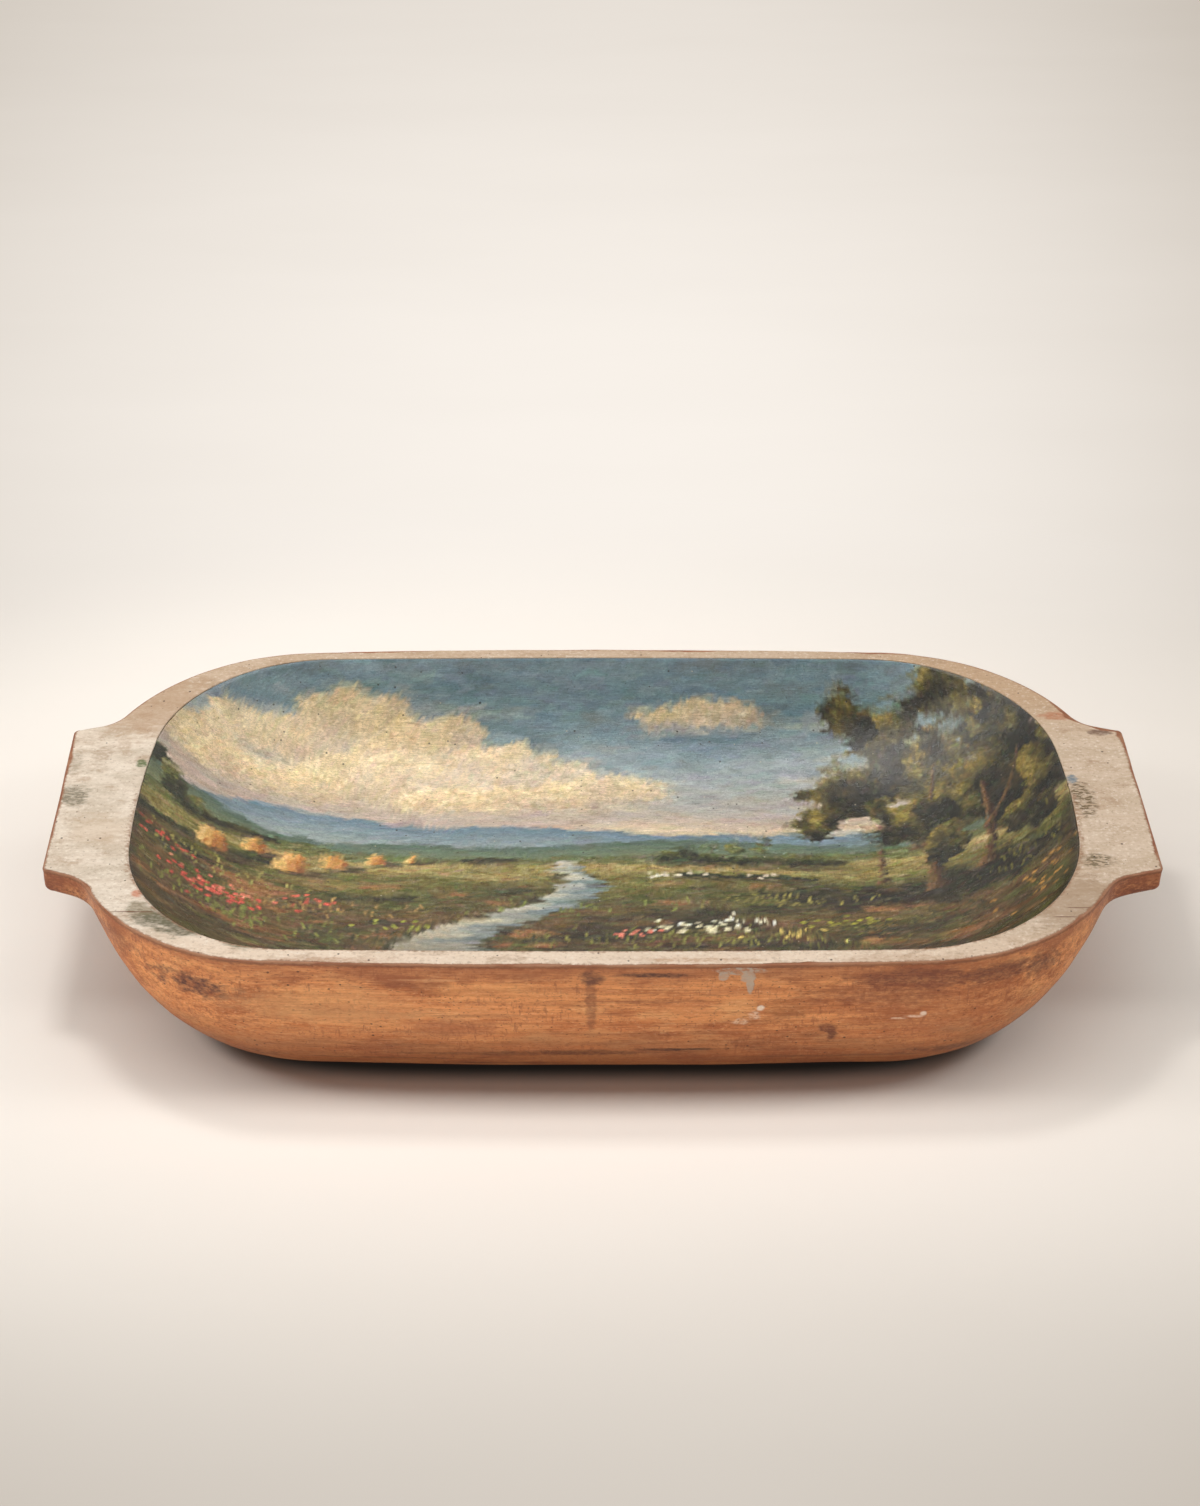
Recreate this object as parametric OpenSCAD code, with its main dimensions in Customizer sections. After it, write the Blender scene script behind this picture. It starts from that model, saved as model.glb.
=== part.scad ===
// Dough bowl carved from one block of wood: an oblong trough with a lug left standing at each end.
// Its flat rim carries a coat of pale grey paint, and its hollow a coat of picture paint.
// X runs along the bowl, Y across it, and the foot stands on Z = 0.

/* [Block] */
// Length over both lugs
overall_len = 707; // [640:1:800]
// Width over the rim
bowl_w = 349; // [320:1:400]
// Height from the foot to the top of the wood
bowl_h = 100; // [90:1:130]

/* [Rim outline] */
// Distance that each lug stands out beyond the rim's end arc
lug_reach = 17; // [10:0.5:40]
// Radius of the corners of the rim
rim_corner_r = 141; // [100:1:150]
// Angle that each end arc turns, from the middle to the corner arc
rim_end_angle = 4.7; // [3:0.1:12]
// Angle that each side arc turns, from the middle to the corner arc
rim_side_angle = 2.2; // [1:0.1:4]
// Radius to which the rim's outer edge is worn
worn_edge_r = 1.2; // [0.4:0.1:2.5]

/* [Foot outline] */
// Distance that each end of the flat foot lies inside the rim's end arc
end_lean = 121.5; // [90:0.5:150]
// Distance that each side of the flat foot lies inside the rim
side_lean = 43.5; // [30:0.5:60]
// Radius of the corners of the foot
foot_corner_r = 78; // [50:1:100]
// Angle that each end arc of the foot turns
foot_end_angle = 9; // [4:0.1:14]
// Angle that each side arc of the foot turns
foot_side_angle = 2.6; // [1:0.1:5]

/* [Outside wall] */
// Exponent of the fall of the end walls below the rim, where 1 is a straight slope
end_fall_power = 1.1; // [1:0.05:2]
// Exponent of the turn of the end walls into the foot
end_turn_power = 1.6; // [1:0.05:3]
// Exponent of the fall of the side walls below the rim
side_fall_power = 4.2; // [2:0.1:6]
// Exponent of the turn of the side walls into the foot
side_turn_power = 3; // [1.5:0.1:4]

/* [Lugs] */
// Width of each lug across its tip
lug_w = 156; // [120:1:190]
// Widening of each side of a lug from its tip to its root
lug_flare = 8; // [2:0.5:14]
// Distance of the middle of both lugs in front of the middle of the bowl
lug_forward = 4; // [0:0.5:8]
// Distance that the left lug's front corner is cut back from its rear one
left_tip_skew = 6; // [0:0.5:10]
// Thickness of the wood at the tip of a lug
lug_tip_t = 16; // [12:0.5:22]
// Thickness of the wood where a lug meets the wall
lug_root_t = 21; // [20:0.5:30]
// Radius of the corners of a lug, seen from above
lug_corner_r = 4; // [2:0.5:8]
// Radius of the edge under the tip of a lug
lug_edge_r = 3; // [1:0.5:5]
// Reach of the fillet between the side of a lug and the rim
lug_fillet = 11; // [6:0.5:14]
// Depth of the hollow curve that carries the underside of a lug into the wall
lug_under_blend = 14; // [8:1:20]

/* [Hollow] */
// Width of the flat rim between the hollow and the rim's end arcs, on average
rim_end_w = 33; // [20:0.5:50]
// Width of the flat rim along the sides, on average
rim_side_w = 12.25; // [8:0.25:20]
// Thickness of the wood under the hollow's floor
floor_t = 30; // [20:1:45]
// Distance of the hollow to the right of the middle of the bowl
hollow_right = 4.5; // [0:0.5:6]
// Distance of the hollow behind the middle of the bowl
hollow_back = 1.8; // [0:0.1:3]
// Radius of the hollow's left corners
hollow_left_corner_r = 111; // [80:1:125]
// Radius of the hollow's right corners
hollow_right_corner_r = 122; // [80:1:125]
// Angle that each end arc of the hollow turns
hollow_end_angle = 4.6; // [3:0.1:12]
// Angle that each side arc of the hollow turns
hollow_side_angle = 1.1; // [0.8:0.1:4]
// Distance that each end of the hollow's level floor lies inside its end at the rim
hollow_end_lean = 198.5; // [150:0.5:230]
// Distance that each side of the hollow's level floor lies inside its side at the rim
hollow_side_lean = 116.25; // [90:0.25:130]
// Radius of the corners of the level floor
floor_corner_r = 34; // [20:1:44]
// Exponent of the fall of the hollow's ends below the rim, where 1 is a straight slope
hollow_end_fall_power = 1; // [1:0.05:1.6]
// Exponent of the turn of the hollow's ends into the floor
hollow_end_turn_power = 3.6; // [2:0.1:5]
// Exponent of the fall of the hollow's sides below the rim
hollow_side_fall_power = 1.25; // [1:0.05:2]
// Exponent of the turn of the hollow's sides into the floor
hollow_side_turn_power = 3.4; // [2:0.1:5]

/* [Paint] */
// Thickness of the grey paint on the rim and the lugs
rim_paint_t = 0.4; // [0.2:0.1:1]
// Thickness of the ground and picture paint in the hollow
picture_paint_t = 0.5; // [0.3:0.1:1]

/* [Hidden] */

// Steps of the surfaces. A quarter of a ring has the tip, corner, side and fillet of a lug, then
// the body's corner arc and half of its side arc.
tip_steps = 3;
corner_steps = 3;
side_steps = 3;
fillet_steps = 5;
arc_steps = 11;
flank_steps = 3;
worn_steps = 2;
edge_steps = 3;
under_steps = 3;
blend_steps = 4;
wall_steps = 11;
hollow_steps = 12;

// A corner radius never takes more than this share of the half width
corner_limit_share = 0.88;
// Where the underside of a lug starts its hollow curve, as a share of its reach from the wall
under_blend_share = 0.4;

half_reach = overall_len / 2;
half_len = half_reach - lug_reach;
half_w = bowl_w / 2;
hollow_half_len = half_len - rim_end_w;
hollow_half_w = half_w - rim_side_w;
hollow_depth = bowl_h - floor_t;

// An outline of tangent arcs: half length, half width, corner radius, angles of the end and side
// arcs, then the radii of those arcs, which two linear equations give.
function outline(a, b, corner_r, end_angle, side_angle) =
    let (
        r = min(corner_r, b * corner_limit_share),
        along = a - r * (cos(end_angle) - sin(side_angle)),
        across = b - r * (cos(side_angle) - sin(end_angle)),
        span = sin(side_angle) * sin(end_angle) - (1 - cos(end_angle)) * (1 - cos(side_angle)),
        end_r = (sin(side_angle) * across - (1 - cos(side_angle)) * along) / span,
        side_r = (sin(end_angle) * along - (1 - cos(end_angle)) * across) / span
    )
    [a, b, r, end_angle, side_angle, end_r, side_r];

// The point of an outline's first quarter where the outward normal makes angle t with X
function point_at(o, t) =
    t < o[3] ? [o[0] - o[5] * (1 - cos(t)), o[5] * sin(t)]
    : t < 90 - o[4] ? [
        o[0] - o[5] * (1 - cos(o[3])) - o[2] * (cos(o[3]) - cos(t)),
        o[5] * sin(o[3]) + o[2] * (sin(t) - sin(o[3]))
    ]
    : [o[6] * cos(t), o[1] - o[6] * (1 - sin(t))];

// The normal's angle where an outline's end or corner arc is at distance y from the middle line
function angle_at(o, y) =
    y < o[5] * sin(o[3]) ? asin(y / o[5]) : asin((y - (o[5] - o[2]) * sin(o[3])) / o[2]);

rim = outline(half_len, half_w, rim_corner_r, rim_end_angle, rim_side_angle);
foot = outline(
    half_len - end_lean, half_w - side_lean, foot_corner_r, foot_end_angle, foot_side_angle
);

function hollow_rim(corner_r, inset) =
    outline(
        hollow_half_len - inset, hollow_half_w - inset, corner_r - inset,
        hollow_end_angle, hollow_side_angle
    );
hollow_floor = outline(
    hollow_half_len - hollow_end_lean, hollow_half_w - hollow_side_lean,
    floor_corner_r, foot_end_angle, hollow_side_angle
);

// A straight step from a to b, at share u of the way
function between(a, b, u) = a + (b - a) * u;

// A curve from a to c that leaves a and meets c along the lines through b, at share u of the way
function bend(a, b, c, u) = a * (1 - u) * (1 - u) + b * 2 * u * (1 - u) + c * u * u;

// The edge of half a lug seen from above, from the middle of its tip to the rim: x, y and how
// far the wall below is held upright. The tip runs from mid_x, at y 0, to a corner at tip_x, tip_y.
function lug_edge(mid_x, tip_x, tip_y) =
    let (
        root_y = tip_y + lug_flare,
        root = [point_at(rim, angle_at(rim, root_y))[0], root_y],
        last_y = root_y + lug_fillet,
        last = [point_at(rim, angle_at(rim, last_y))[0], last_y],
        side_start = [tip_x - lug_corner_r, tip_y],
        fillet_start = root - (root - side_start) * lug_fillet / norm(root - side_start)
    )
    concat(
        [for (k = [0:tip_steps - 1])
            let (u = k / tip_steps) [between(mid_x, tip_x, u), (tip_y - lug_corner_r) * u, 1]],
        [for (k = [0:corner_steps - 1])
            let (a = 90 * k / corner_steps)
            [tip_x - lug_corner_r * (1 - cos(a)), tip_y - lug_corner_r * (1 - sin(a)), 1]],
        [for (k = [0:side_steps - 1])
            let (p = between(side_start, fillet_start, k / side_steps)) [p[0], p[1], 1]],
        [for (k = [0:fillet_steps - 1])
            let (u = k / fillet_steps, p = bend(fillet_start, root, last, u))
            [p[0], p[1], (1 - u * u) * (1 - u * u)]]
    );

// The stations of a quarter ring, each with the normal's angle, how far a lug stands out beyond
// the rim arc there, and how far the wall below is held upright
function quarter_stations(mid_x, tip_x, tip_y) =
    let (first = angle_at(rim, tip_y + lug_flare + lug_fillet), flank = 90 - rim_side_angle)
    concat(
        [for (p = lug_edge(mid_x, tip_x, tip_y))
            let (t = angle_at(rim, p[1])) [t, p[0] - point_at(rim, t)[0], p[2]]],
        [for (k = [0:arc_steps - 1]) [between(first, flank, k / arc_steps), 0, 0]],
        [for (k = [0:flank_steps]) [between(flank, 90, k / flank_steps), 0, 0]]
    );

left_mid = half_reach - left_tip_skew / 2;
left_front = half_reach - left_tip_skew;
quarters = [
    [1, 1, quarter_stations(half_reach, half_reach, lug_w / 2 - lug_forward)],
    [-1, 1, quarter_stations(left_mid, half_reach, lug_w / 2 - lug_forward)],
    [-1, -1, quarter_stations(left_mid, left_front, lug_w / 2 + lug_forward)],
    [1, -1, quarter_stations(half_reach, half_reach, lug_w / 2 + lug_forward)]
];

// All stations once round, anticlockwise from +X. Every second quarter runs backwards.
stations = [
    for (n = [0:3])
        let (q = quarters[n], last = len(q[2]) - 1)
        for (k = [0:last - 1])
            let (s = q[2][n % 2 == 0 ? k : last - k]) [q[0], q[1], s[0], s[1], s[2]]
];
count = len(stations);

// How far a wall at normal angle t still stands out at depth share q, from 1 at the rim to 0
function wall_share(q, t, end_fall, end_turn, side_fall, side_turn) =
    let (
        fall = between(side_fall, end_fall, cos(t) * cos(t)),
        turn = between(side_turn, end_turn, cos(t) * cos(t))
    )
    pow(max(0, 1 - pow(q, fall)), 1 / turn);

// One ring of the outside at a depth below the rim, where the lugs stand out by lug_share
function outside_ring(depth, lug_share) = [
    for (s = stations)
        let (
            top = point_at(rim, s[2]),
            low = point_at(foot, s[2]),
            out = wall_share(
                depth / bowl_h, s[2], end_fall_power, end_turn_power, side_fall_power, side_turn_power
            ),
            wall = between(low, top, out),
            p = wall + ([s[3], 0] + (top - wall) * s[4]) * lug_share
        )
        [s[0] * p[0], s[1] * p[1], bowl_h - depth]
];

// A ring moved inwards by a distance, square to the line between each point's two neighbours
function drawn_in(ring, distance) = [
    for (i = [0:count - 1])
        let (
            run = ring[(i + 1) % count] - ring[(i + count - 1) % count],
            inward = [-run[1], run[0], 0] / norm([run[0], run[1]])
        )
        ring[i] + inward * distance
];

// One ring of the hollow at depth share q, drawn in all round by inset
function hollow_ring(q, inset) = [
    for (s = stations)
        let (
            corner_r = s[0] < 0 ? hollow_left_corner_r : hollow_right_corner_r,
            top = point_at(hollow_rim(corner_r, inset), s[2]),
            low = point_at(hollow_floor, s[2]),
            out = wall_share(
                q, s[2], hollow_end_fall_power, hollow_end_turn_power,
                hollow_side_fall_power, hollow_side_turn_power
            ),
            p = between(low, top, out)
        )
        [
            s[0] * p[0] + hollow_right,
            s[1] * p[1] + hollow_back,
            bowl_h - (hollow_depth - inset) * q
        ]
];

// Depth and lug share of each outside ring: the lug's upright edge, its rounded lower edge, its
// sloping underside, the hollow curve into the wall, and then the plain wall down to the foot
edge_share = lug_edge_r / (lug_reach + lug_root_t / 2);
blend_depth = lug_root_t + lug_under_blend;
under_start = [lug_tip_t, 1 - edge_share];
under_end = between([lug_root_t, 0], under_start, under_blend_share);
levels = concat(
    [[worn_edge_r, 1]],
    [for (k = [0:edge_steps - 1])
        let (a = 90 * k / edge_steps)
        [lug_tip_t - lug_edge_r * (1 - sin(a)), 1 - edge_share * (1 - cos(a))]],
    [for (k = [0:under_steps - 1]) between(under_start, under_end, k / under_steps)],
    [for (k = [0:blend_steps - 1])
        bend(under_end, [lug_root_t, 0], [blend_depth, 0], k / blend_steps)],
    [for (k = [0:wall_steps]) [between(blend_depth, bowl_h, sin(90 * k / wall_steps)), 0]]
);

outside_rings = concat(
    [for (k = [0:worn_steps - 1])
        let (a = 90 - 90 * k / worn_steps)
        drawn_in(outside_ring(worn_edge_r * (1 - sin(a)), 1), worn_edge_r * (1 - cos(a)))],
    [for (v = levels) outside_ring(v[0], v[1])]
);
function hollow_rings(inset) = [for (k = [0:hollow_steps]) hollow_ring(sin(90 * k / hollow_steps), inset)];

// A closed solid from rings of equal count, each joined to the next, with both end rings capped
module loft(rings) {
    rows = len(rings);
    points = [for (r = rings) for (p = r) p];
    sides = [
        for (r = [0:rows - 2])
            for (i = [0:count - 1])
                let (j = (i + 1) % count, a = r * count, b = a + count)
                for (f = [[a + i, b + i, b + j], [a + i, b + j, a + j]]) f
    ];
    first_cap = [for (i = [0:count - 1]) i];
    last_cap = [for (i = [0:count - 1]) (rows - 1) * count + count - 1 - i];
    polyhedron(points = points, faces = concat([first_cap], sides, [last_cap]), convexity = 6);
}

function reversed(list) = [for (i = [len(list) - 1:-1:0]) list[i]];

// The ring's points seen from above
function plan(ring) = [for (p = ring) [p[0], p[1]]];

module bowl_body() {
    color("#b9773f") loft(concat(reversed(outside_rings), hollow_rings(0)));
}

module rim_paint() {
    color("#cdbfae")
        translate([0, 0, bowl_h])
            linear_extrude(rim_paint_t)
                difference() {
                    polygon(plan(outside_rings[0]));
                    polygon(plan(hollow_ring(0, 0)));
                }
}

module picture_paint() {
    color("#7c7a58") loft(concat(reversed(hollow_rings(0)), hollow_rings(picture_paint_t)));
}

bowl_body();
rim_paint();
picture_paint();
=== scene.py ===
import math

import bpy
import numpy as np
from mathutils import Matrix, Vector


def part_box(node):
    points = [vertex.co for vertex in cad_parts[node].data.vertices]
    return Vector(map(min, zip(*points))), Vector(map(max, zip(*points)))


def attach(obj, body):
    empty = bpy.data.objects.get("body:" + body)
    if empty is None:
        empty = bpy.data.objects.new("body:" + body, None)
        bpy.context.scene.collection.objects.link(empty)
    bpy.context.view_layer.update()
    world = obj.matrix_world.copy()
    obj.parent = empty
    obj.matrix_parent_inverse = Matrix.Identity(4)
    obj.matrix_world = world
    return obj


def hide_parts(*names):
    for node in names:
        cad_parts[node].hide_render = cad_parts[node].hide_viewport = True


# Dough bowl carved from one block of wood, with grey paint on its rim and a painted hollow.
# Surfaces are worked out in millimetres in the frame of the CAD model, and meshes are in metres.
MM = 0.001
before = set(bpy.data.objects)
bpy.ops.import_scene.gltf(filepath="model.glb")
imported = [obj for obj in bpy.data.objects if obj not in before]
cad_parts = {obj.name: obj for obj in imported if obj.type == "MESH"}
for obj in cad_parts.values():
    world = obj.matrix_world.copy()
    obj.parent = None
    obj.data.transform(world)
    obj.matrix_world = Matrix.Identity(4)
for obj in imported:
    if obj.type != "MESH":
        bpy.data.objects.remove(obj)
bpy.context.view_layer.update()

# Overall sizes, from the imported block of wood
wood_low, wood_high = (np.array(corner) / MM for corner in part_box("bowl_body"))
OVERALL_LEN, BOWL_W, BOWL_H = wood_high - wood_low

# Rim and lugs
LUG_REACH = 17.0
LUG_W = 156.0
LUG_FLARE = 8.0
LUG_FORWARD = 4.0
LEFT_TIP_SKEW = 6.0
LUG_TIP_T = 16.0
LUG_ROOT_T = 21.0
LUG_CORNER_R = 4.0
LUG_EDGE_R = 3.0
LUG_FILLET = 11.0
LUG_UNDER_BLEND = 14.0
UNDER_BLEND_SHARE = 0.4
CORNER_LIMIT_SHARE = 0.88

# Foot, outside wall and hollow
END_LEAN = 121.5
SIDE_LEAN = 43.5
RIM_END_W = 33.0
RIM_SIDE_W = 12.25
FLOOR_T = 30.0
HOLLOW_RIGHT = 4.5
HOLLOW_BACK = 1.8
HOLLOW_LEFT_CORNER_R = 111.0
HOLLOW_RIGHT_CORNER_R = 122.0
HOLLOW_END_LEAN = 198.5
HOLLOW_SIDE_LEAN = 116.25
RIM_CORNER_R = 141.0
FOOT_CORNER_R = 78.0
LEVEL_CORNER_R = 34.0
# Degrees that the end arc and the side arc of each outline turn by
RIM_TURNS = (4.7, 2.2)
FOOT_TURNS = (9.0, 2.6)
HOLLOW_TURNS = (4.6, 1.1)
LEVEL_TURNS = (9.0, 1.1)
# Powers of a wall's fall and turn, at its ends and along its sides
OUTSIDE_POWERS = (1.1, 1.6, 4.2, 3.0)
HOLLOW_POWERS = (1.0, 3.6, 1.25, 3.4)

# Wear, coats of paint and hand carving
WORN_LEAST_R = 0.9
WORN_MORE_R = 0.9
ARRIS_R = 0.9
HOLLOW_SINK = 0.3
RIM_PAINT_T = 0.4
PICTURE_T = 0.5
HEWN_DEPTH = 0.7
DENT_DEPTH = 0.25

HALF_LEN = OVERALL_LEN / 2 - LUG_REACH
HALF_W = BOWL_W / 2
HOLLOW_HALF_LEN = HALF_LEN - RIM_END_W
HOLLOW_HALF_W = HALF_W - RIM_SIDE_W
HOLLOW_DEPTH = BOWL_H - FLOOR_T


# Noise

HASH_PRIMES = np.array([374761393, 668265263, 2246822519])


def lattice_noise(points, cell, seed):
    """Smooth noise from -1 to 1: random values at the corners of a lattice of cells of that size,
    one size or one for each axis, blended along each axis by 3u^2 - 2u^3."""
    places = points / np.asarray(cell, float)
    base = np.floor(places)
    share = places - base
    share = share * share * (3 - 2 * share)
    base = base.astype(np.int64)
    axes = points.shape[-1]
    total = np.zeros(points.shape[:-1])
    for corner in np.ndindex(*(2,) * axes):
        key = ((base + corner) * HASH_PRIMES[:axes]).sum(-1) + seed * 974634777
        key = (key ^ (key >> 13)) & 0xFFFFFFFF
        key = (key * 1274126177) & 0xFFFFFFFF
        value = ((key ^ (key >> 16)) & 0xFFFF) / 32767.5 - 1
        weight = np.where(corner, share, 1 - share).prod(-1)
        total += value * weight
    return total


def rough_noise(points, cell, seed, octaves=3):
    """Lattice noise in octaves, each with half the cell and 0.55 of the height of the last."""
    total, height = 0.0, 1.0
    for octave in range(octaves):
        total = total + height * lattice_noise(points, np.asarray(cell, float) / 2**octave, seed + octave)
        height *= 0.55
    return total


def smooth(value, low, high):
    """0 below low, 1 above high and 3u^2 - 2u^3 in between. High may lie below low."""
    u = np.clip((value - low) / (high - low), 0, 1)
    return u * u * (3 - 2 * u)


def between(a, b, u):
    """The straight step from a to b at share u."""
    return a + (b - a) * u


def bend(a, b, c, u):
    """The curve that leaves a and meets c along the lines through b, at share u."""
    return a * (1 - u) ** 2 + b * 2 * u * (1 - u) + c * u * u


# Outlines

# Steps along a lug's tip, corner, side and fillet, and along the rim's corner and half its side
LUG_STEPS = (26, 8, 6, 10)
CORNER_STEPS, SIDE_STEPS = 60, 70


def outline(half_len, half_w, corner_r, end_angle, side_angle):
    """An outline of tangent arcs: an end arc and a side arc that turn by the two angles, joined by
    a corner arc. Two linear equations give the radii of the end and side arcs."""
    end, side = math.radians(end_angle), math.radians(side_angle)
    r = min(corner_r, half_w * CORNER_LIMIT_SHARE)
    along = half_len - r * (math.cos(end) - math.sin(side))
    across = half_w - r * (math.cos(side) - math.sin(end))
    span = math.sin(side) * math.sin(end) - (1 - math.cos(end)) * (1 - math.cos(side))
    end_r = (math.sin(side) * across - (1 - math.cos(side)) * along) / span
    side_r = (math.sin(end) * along - (1 - math.cos(end)) * across) / span
    return half_len, half_w, r, end, side, end_r, side_r


def point_at(shape, turn):
    """The point of an outline's first quarter where the outward normal makes that angle with X:
    on the end arc, on the corner arc or on the side arc."""
    half_len, half_w, r, end, side, end_r, side_r = shape
    on_end, on_side = turn < end, turn >= math.pi / 2 - side
    x = np.select(
        [on_end, on_side],
        [half_len - end_r * (1 - np.cos(turn)), side_r * np.cos(turn)],
        half_len - end_r * (1 - math.cos(end)) - r * (math.cos(end) - np.cos(turn)),
    )
    y = np.select(
        [on_end, on_side],
        [end_r * np.sin(turn), half_w - side_r * (1 - np.sin(turn))],
        end_r * math.sin(end) + r * (np.sin(turn) - math.sin(end)),
    )
    return np.stack([x, y], -1)


def angle_at(shape, y):
    """The normal's angle where an outline's end or corner arc is at distance y from its middle."""
    _, _, r, end, _, end_r, _ = shape
    on_end = np.arcsin(np.clip(y / end_r, -1, 1))
    on_corner = np.arcsin(np.clip((y - (end_r - r) * math.sin(end)) / r, -1, 1))
    return np.where(y < end_r * math.sin(end), on_end, on_corner)


RIM = outline(HALF_LEN, HALF_W, RIM_CORNER_R, *RIM_TURNS)
FOOT = outline(HALF_LEN - END_LEAN, HALF_W - SIDE_LEAN, FOOT_CORNER_R, *FOOT_TURNS)
LEVEL_FLOOR = outline(
    HOLLOW_HALF_LEN - HOLLOW_END_LEAN,
    HOLLOW_HALF_W - HOLLOW_SIDE_LEAN,
    LEVEL_CORNER_R,
    *LEVEL_TURNS,
)


def hollow_rim(corner_r, inset):
    return outline(
        HOLLOW_HALF_LEN - inset, HOLLOW_HALF_W - inset, corner_r - inset, *HOLLOW_TURNS
    )


def lug_edge(mid_x, tip_x, tip_y, steps):
    """The edge of half a lug seen from above: its tip, its round corner, its straight side and the
    fillet into the rim. Each row holds x, y and how far the wall below is held upright."""
    tip_steps, corner_steps, side_steps, fillet_steps = steps
    root_y, last_y = tip_y + LUG_FLARE, tip_y + LUG_FLARE + LUG_FILLET
    root = np.array([point_at(RIM, angle_at(RIM, root_y))[0], root_y])
    last = np.array([point_at(RIM, angle_at(RIM, last_y))[0], last_y])
    side_start = np.array([tip_x - LUG_CORNER_R, tip_y])
    along_side = (root - side_start) / np.linalg.norm(root - side_start)
    fillet_start = root - along_side * LUG_FILLET
    u = np.arange(tip_steps) / tip_steps
    tip = np.stack([between(mid_x, tip_x, u), (tip_y - LUG_CORNER_R) * u, np.ones_like(u)], -1)
    a = np.arange(corner_steps) / corner_steps * math.pi / 2
    bow = LUG_CORNER_R * (1 - np.stack([np.cos(a), np.sin(a)], -1))
    corner = np.hstack([[tip_x, tip_y] - bow, np.ones_like(a)[:, None]])
    u = (np.arange(side_steps) / side_steps)[:, None]
    side = np.hstack([between(side_start, fillet_start, u), np.ones_like(u)])
    u = (np.arange(fillet_steps) / fillet_steps)[:, None]
    fillet = np.hstack([bend(fillet_start, root, last, u), (1 - u * u) ** 2])
    return np.vstack([tip, corner, side, fillet])


def quarter_stations(mid_x, tip_x, tip_y, fine):
    """The stations of a quarter ring. Each row holds the normal's angle, how far the lug stands out
    beyond the rim's arc there, and how far the wall below is held upright."""
    edge = lug_edge(mid_x, tip_x, tip_y, [fine * steps for steps in LUG_STEPS])
    turn = angle_at(RIM, edge[:, 1])
    lug = np.stack([turn, edge[:, 0] - point_at(RIM, turn)[:, 0], edge[:, 2]], -1)
    first, flank = angle_at(RIM, tip_y + LUG_FLARE + LUG_FILLET), math.pi / 2 - RIM[4]
    corner = np.linspace(first, flank, fine * CORNER_STEPS, endpoint=False)
    plain = np.concatenate([corner, np.linspace(flank, math.pi / 2, fine * SIDE_STEPS + 1)])
    return np.vstack([lug, np.stack([plain, plain * 0, plain * 0], -1)])


def stations(fine):
    """All stations once round, anticlockwise from +X, as sign of x, sign of y, angle, stand-out and
    upright share. Every second quarter runs backwards."""
    reach = OVERALL_LEN / 2
    left_mid = reach - LEFT_TIP_SKEW / 2
    quarters = [
        (1, 1, reach, reach, -LUG_FORWARD),
        (-1, 1, left_mid, reach, -LUG_FORWARD),
        (-1, -1, left_mid, reach - LEFT_TIP_SKEW, LUG_FORWARD),
        (1, -1, reach, reach, LUG_FORWARD),
    ]
    found = []
    for n, (sign_x, sign_y, mid_x, tip_x, shift) in enumerate(quarters):
        rows = quarter_stations(mid_x, tip_x, LUG_W / 2 + shift, fine)
        rows = rows[:-1] if n % 2 == 0 else rows[:0:-1]
        signs = np.tile([sign_x, sign_y], (len(rows), 1))
        found.append(np.hstack([signs, rows]))
    return np.vstack(found).T


# Surfaces of the bowl

def wall_share(q, turn, powers):
    """How far a wall still stands out at depth share q, from 1 at the rim to 0 at the floor:
    (1 - q^fall)^(1/turn), with both powers mixed from side to end by the normal's cosine squared."""
    end_fall, end_turn, side_fall, side_turn = powers
    mix = np.cos(turn) ** 2
    fall, curl = between(side_fall, end_fall, mix), between(side_turn, end_turn, mix)
    return np.maximum(0, 1 - np.maximum(q, 0) ** fall) ** (1 / curl)


def outside(ring, depth, lug_share):
    """Points of the outside at a depth below the rim, where lugs stand out by lug_share."""
    sign_x, sign_y, turn, stand, upright = ring
    top, low = point_at(RIM, turn), point_at(FOOT, turn)
    depth, lug_share = np.broadcast_arrays(depth, lug_share)
    out = wall_share(depth / BOWL_H, turn, OUTSIDE_POWERS)[..., None]
    wall = low + (top - low) * out
    beyond = np.stack([stand, stand * 0], -1) + (top - wall) * upright[:, None]
    plan = wall + beyond * lug_share[..., None]
    return np.stack([sign_x * plan[..., 0], sign_y * plan[..., 1], BOWL_H - depth + 0 * out[..., 0]], -1)


def hollow(sign_x, sign_y, turn, q, inset):
    """Points of the hollow at depth share q, drawn in all round by inset."""
    left = point_at(hollow_rim(HOLLOW_LEFT_CORNER_R, inset), turn)
    right = point_at(hollow_rim(HOLLOW_RIGHT_CORNER_R, inset), turn)
    top = np.where((sign_x < 0)[..., None], left, right)
    low = point_at(LEVEL_FLOOR, turn)
    plan = low + (top - low) * wall_share(q, turn, HOLLOW_POWERS)[..., None]
    x = sign_x * plan[..., 0] + HOLLOW_RIGHT
    y = sign_y * plan[..., 1] + HOLLOW_BACK
    return np.stack([x, y, BOWL_H - (HOLLOW_DEPTH - inset) * q + 0 * x], -1)


def drawn_in(rings, distance):
    """Rings moved inwards by a distance, square to the line between each point's neighbours."""
    run = np.roll(rings, -1, axis=-2) - np.roll(rings, 1, axis=-2)
    inward = np.stack([-run[..., 1], run[..., 0]], -1)
    inward /= np.linalg.norm(inward, axis=-1, keepdims=True)
    moved = rings.copy()
    moved[..., :2] += inward * np.asarray(distance)[..., None]
    return moved


def worn_radius(ring):
    """How far the rim's outer edge is worn round at each station, from noise along the edge."""
    edge = outside(ring, 0, 1)
    return WORN_LEAST_R + WORN_MORE_R * smooth(rough_noise(edge, 38, 11), -0.4, 1.1)


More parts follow.
